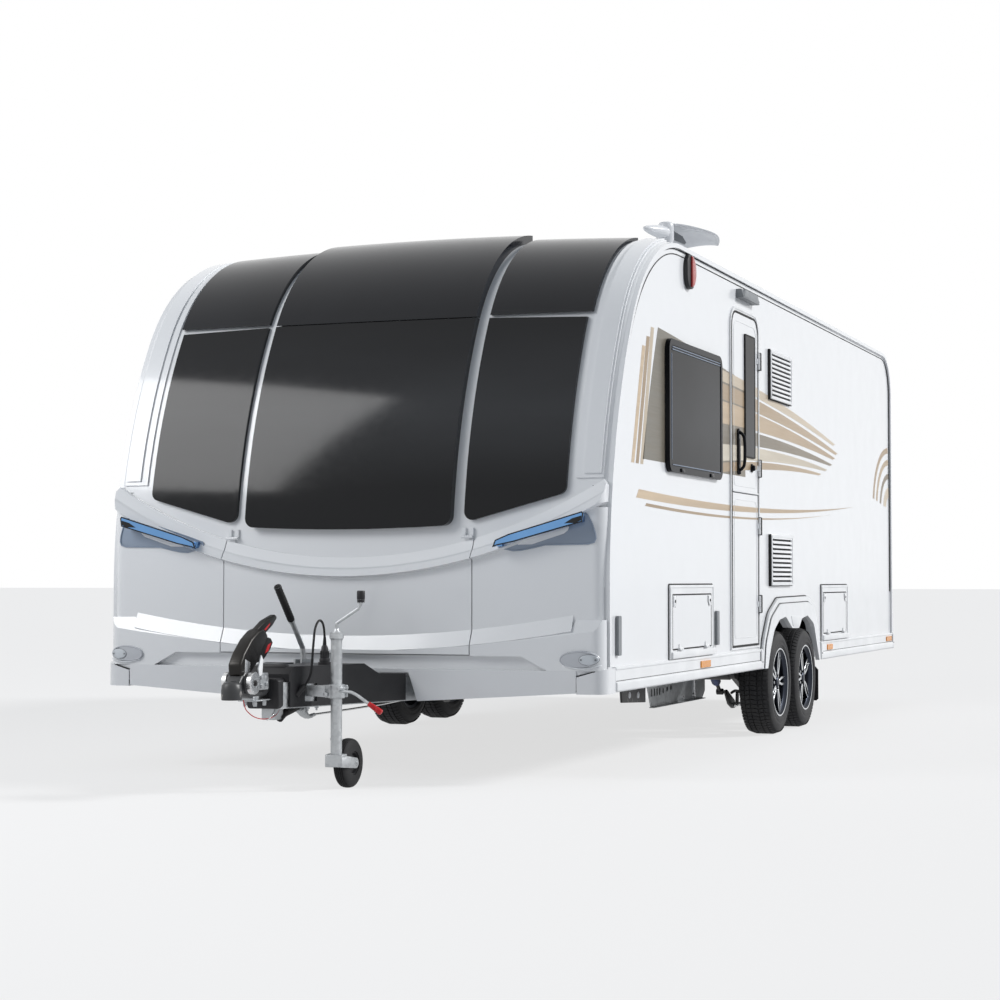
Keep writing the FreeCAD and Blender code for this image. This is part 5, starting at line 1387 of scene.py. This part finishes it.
def rail_line(x, inset):
    """Thin line that follows the awning rail up the front and along the roof's edge."""
    def on_arc(arc, angles):
        y, z, radius = arc
        radius -= inset
        return [(x, y - radius * math.cos(math.radians(a)), z + radius * math.sin(math.radians(a)))
                for a in angles]
    path = [(x, -2.785 + inset, z / 100) for z in range(51, 84, 8)]
    path += on_arc(BOW_ARC, (BOW * i / 8 for i in range(1, 9)))
    path += on_arc(BROW_ARC, (BOW + (90 - BOW) * i / 8 for i in range(1, 9)))
    path += [(x, y / 10, 2.524 - inset) for y in range(-12, 37, 6)]
    path += on_arc(TAIL_ARC, range(90, 181, 15))
    path += [(x, 3.94 - inset, z / 10) for z in range(20, 4, -4)]
    return bar(path, .0026, 3, 4)


# ---- foils on the nearside ------------------------------------------------
def curve_between(a, b, bow, steps=18):
    """Points from a to b that bow sideways by a distance at the middle."""
    (ya, za), (yb, zb) = a, b
    length = math.hypot(yb - ya, zb - za)
    ny, nz = -(zb - za) / length, (yb - ya) / length
    return [(ya + (yb - ya) * t + ny * bow * 4 * t * (1 - t),
             za + (zb - za) * t + nz * bow * 4 * t * (1 - t))
            for t in (i / steps for i in range(steps + 1))]


def band(a, b, bow, c, d, bow2):
    """Outline between two bowed lines, a to b and c to d."""
    return curve_between(a, b, bow) + curve_between(c, d, bow2)[::-1]


PANE_HOLE = (-.365, -.165, 1.555)                   # no foil behind the door's pane: front, rear, foot
FRAME_WIDTH = .0285                                 # from the door opening out to the wall's foil
LEAF_MARGIN = .0055                                 # from the door opening in to the leaf's foil
FOIL_SINK, FOIL_DEPTH = .0002, .0008                # foil below the face it lies on, and its thickness
ANYWHERE = 5                                        # farther than any point of the caravan


def lay_stripe(name, outline, finish, lift=0.0):
    """Foil on the nearside wall; where it crosses the door it lies on the leaves."""
    low, high = min(y for y, z in outline), max(y for y, z in outline)
    front, rear = DOOR_EDGE[0] - FRAME_WIDTH, DOOR_EDGE[1] + FRAME_WIDTH
    leaf_front, leaf_rear = DOOR_EDGE[0] + LEAF_MARGIN, DOOR_EDGE[1] - LEAF_MARGIN
    pane_front, pane_rear, pane_foot = PANE_HOLE
    waist = DOOR_SPLIT + .013
    parts = []                                      # place, body, face, areas as y0, y1, z0, z1
    if low < front:
        parts.append(("front", BODY, SIDE, [(-ANYWHERE, front, 0, ANYWHERE)]))
    if high > rear:
        parts.append(("rear", BODY, SIDE, [(rear, ANYWHERE, 0, ANYWHERE)]))
    if low < rear and high > front:
        parts.append(("door_upper", "door_upper_leaf", DOOR_FACE,
                      [(leaf_front, pane_front, waist, ANYWHERE), (pane_rear, leaf_rear, waist, ANYWHERE),
                       (pane_front, pane_rear, waist, pane_foot)]))
        parts.append(("door_lower", "door_lower_leaf", DOOR_FACE,
                      [(leaf_front, leaf_rear, 0, DOOR_SPLIT - .003)]))
    for place, body, face, areas in parts:
        foils = []
        for ya, yb, za, zb in areas:
            foil = outlined(outline, "X", face - FOIL_SINK, FOIL_DEPTH + lift, 0)
            foil = kept_between(kept_between(foil, ya, yb, "Y"), za, zb, "Z")
            if foil.data.polygons:
                foils.append(foil)
            else:
                bpy.data.objects.remove(foil)
        if foils:
            piece(joined(*foils), f"stripe_{name}_{place}", body,
                  "door_white" if "door" in place else "body_white", finish)


def stripes():
    """Generic champagne and bronze bands along the nearside, split at the door."""
    lay_stripe("panel", curve_between((-2.235, 1.44), (-1.985, 2.075), .012)
               + curve_between((-1.985, 2.075), (-.35, 1.95), .012) + [(-.35, 1.44)], TAUPE)
    slats = ((-2.415, 1.965, CHAMPAGNE), (-2.345, 2.015, BRONZE), (-2.275, 2.065, SAND))
    for number, (y, top, finish) in enumerate(slats, 1):
        slat = [(y, 1.415), (y + .045, 1.415), (y + .225, top), (y + .175, top)]
        lay_stripe(f"slat_{number}", slat, finish)
    fan = (("a", 1.985, 1.925, 2.02, 1.745, SAND), ("b", 1.915, 1.83, 2.1, 1.69, BRONZE),
           ("c", 1.82, 1.7, 2.02, 1.655, CHAMPAGNE), ("d", 1.69, 1.6, 1.93, 1.61, TAUPE),
           ("e", 1.59, 1.5, 1.78, 1.57, IVORY), ("f", 1.49, 1.44, 1.6, 1.535, BRONZE))
    for name, high, low, tip_y, tip_z, finish in fan:
        lay_stripe(f"fan_{name}", band((-.885, high), (tip_y, tip_z + .012), .03, (-.885, low),
                                       (tip_y - .07, tip_z), .024), finish, .0002)
    long_line = band((-2.3, 1.298), (2.62, 1.372), -.05, (-2.34, 1.258), (2.56, 1.368), -.054)
    fine_line = band((-2.18, 1.238), (1.9, 1.3), -.044, (-2.2, 1.224), (1.84, 1.297), -.046)
    lay_stripe("line_long", long_line, CHAMPAGNE)
    lay_stripe("line_fine", fine_line, BRONZE)
    arcs = ((.62, .055, CHAMPAGNE), (.5, .055, BRONZE), (.36, .055, TAUPE), (.22, .1, SAND))
    for number, (reach, width, finish) in enumerate(arcs, 1):
        lay_stripe(f"rear_arc_{number}", rear_arc(reach) + rear_arc(reach - width)[::-1], finish)


def rear_arc(reach):
    """Points of a flattened quarter circle about the rear corner."""
    return [(3.9 - reach * math.cos(math.radians(a)), 1.395 + reach * .72 * math.sin(math.radians(a)))
            for a in range(8, 91, 6)]


# ---- underside ------------------------------------------------------------
def side_plates():
    """Slotted carrier plates and their dark forward members, inboard of the wheels."""
    sheet = outlined([(-.702, .309), (-.64, .203), (.395, .197), (.455, .24), (.455, .392),
                      (-.702, .392)], "X", .776, .0045, .0008, 1)
    lip = block(.7715, .8015, -.64, .395, .1975, .202, .001, 1)
    both_hands([sheet, lip], "carrier_plate", "galvanised")
    slots = [outlined(round_box(y - .009, y + .009, .258, .3, .008, steps=3), "X", .78, .0018, 0)
             for y in (-.622, -.572, -.522, -.472)]
    slots += [outlined(round_box(y - .013, y + .013, z - .013, z + .013, .0125, steps=5), "X", .78,
                       .0018, 0)
              for y, z in ((-.405, .278), (-.33, .284), (-.255, .29), (-.1, .33), (.16, .33))]
    both_hands(slots, "carrier_plate_holes", "black_plastic", SEAL_AND_SHADOW)
    studs = [drum(.01, (.779, y, z), (.788, y, z), 6, .001)
             for y, z in ((-.02, .226), (.2, .226), (.3, .33), (-.46, .35))]
    rib = block(.779, .79, .206, .214, .205, .385, .002)
    both_hands([*studs, rib], "carrier_plate_studs", "galvanised", STEEL)
    member = outlined([(-1.118, .312), (-1.105, .25), (-.69, .231), (-.69, .392), (-1.118, .392)], "X",
                      .756, .012, .003)
    both_hands([member], "forward_member", "black_plastic", AXLE)
    bushes = [joined(drum(.0175, (.766, y, z), (.7712, y, z), 28, .0012),
                     drum(.011, (.77, y, z), (.7735, y, z), 24, .001))
              for y, z in ((-.983, .284), (-.831, .277))]
    both_hands(bushes, "forward_member_bushes", "galvanised", BRIGHT_EDGE)


DAMPER_TOP, DAMPER_FOOT = Vector((.872, .24, .39)), Vector((.872, .45, .235))
BRACKET_NUTS = ((.618, .148), (.72, .15), (.722, .212), (.935, .214))  # y, z


def dampers():
    """Blue damper by the front axle arm on either side, and its bracket."""
    run, half_eye = DAMPER_FOOT - DAMPER_TOP, AXIS["X"] * .02
    middle = DAMPER_TOP + run * .62
    tube = [drum(.027, DAMPER_TOP, middle, 32, .004),
            drum(.0225, middle - run * .01, middle + run * .04, 28, .003)]
    rod = [drum(.011, middle, DAMPER_FOOT, 20, .001)]
    rod += [drum(.018, end - half_eye, end + half_eye, 24, .003) for end in (DAMPER_FOOT, DAMPER_TOP)]
    both_hands(tube, "damper_body", "black_plastic", BLUE)
    both_hands(rod, "damper_rod", "galvanised", AXLE)
    arm = outlined([(.412, .245), (.47, .246), (.64, .178), (.668, .15), (.64, .13), (.585, .132),
                    (.5, .16)], "X", .9, .012, .003)
    plate = outlined([(.69, .14), (.742, .136), (.748, .226), (.7, .232)], "X", .9, .01, .002)
    link = bar([(.906, .585, .222), (.906, .655, .232), (.906, .72, .226), (.906, .83, .22),
                (.906, .944, .214)], .0085)
    both_hands([arm, plate, link], "damper_bracket", "black_plastic", AXLE)
    nuts = [drum(radius, (.908, y, z), (far, y, z), sides, edge)
            for radius, far, sides, edge in ((.0125, .925, 6, .0015), (.0065, .932, 18, .001))
            for y, z in BRACKET_NUTS]
    both_hands(nuts, "damper_nuts", "galvanised", STEEL)


def steady_feet():
    """Pressed feet, edge folds and lead screws of the stowed corner steadies."""
    for name, side, y, inward in (("nearside_front", 1, -2.56, 1), ("offside_front", -1, -2.56, 1),
                                  ("nearside_rear", 1, 3.7, -1), ("offside_rear", -1, 3.7, -1)):
        x = side * .9
        a, b = sorted((y + inward * .352, y + inward * .436))
        c, d = sorted((y + inward * .02, y + inward * .345))
        parts = [block(x - .041, x + .041, a, b, .3945, .4, .002),
                 block(x - .0265, x - .0235, c, d, .401, .4345, .001),
                 block(x + .0235, x + .0265, c, d, .401, .4345, .001),
                 block(x - .02, x + .02, c + .03, d - .03, .4015, .4055, .0015)]
        piece(joined(*parts), f"steady_folds_{name}", STEADY_BODY[name], "galvanised", AXLE)
        nut = drum(.012, (x, y - inward * .008, .44), (x, y - inward * .026, .44), 6, .0015)
        piece(nut, f"steady_screw_{name}", BODY, "galvanised", STEEL)


for build in (hitch_cords, wheels,
              window_trim, hatch_trim, door_trim, door_furniture, vent_trim, side_lamps, skirts,
              arches_and_rail, stripes,
              grab_handles, front_lamps, front_lines,
              coupling_body, coupling, under_the_neck, brake_lever, jockey_mast, jockey_clamp, jockey_wheel,
              side_plates, dampers, steady_feet,
              rear_window, rear_lamps, rear_trim,
              rooflights, aerial):
    build()
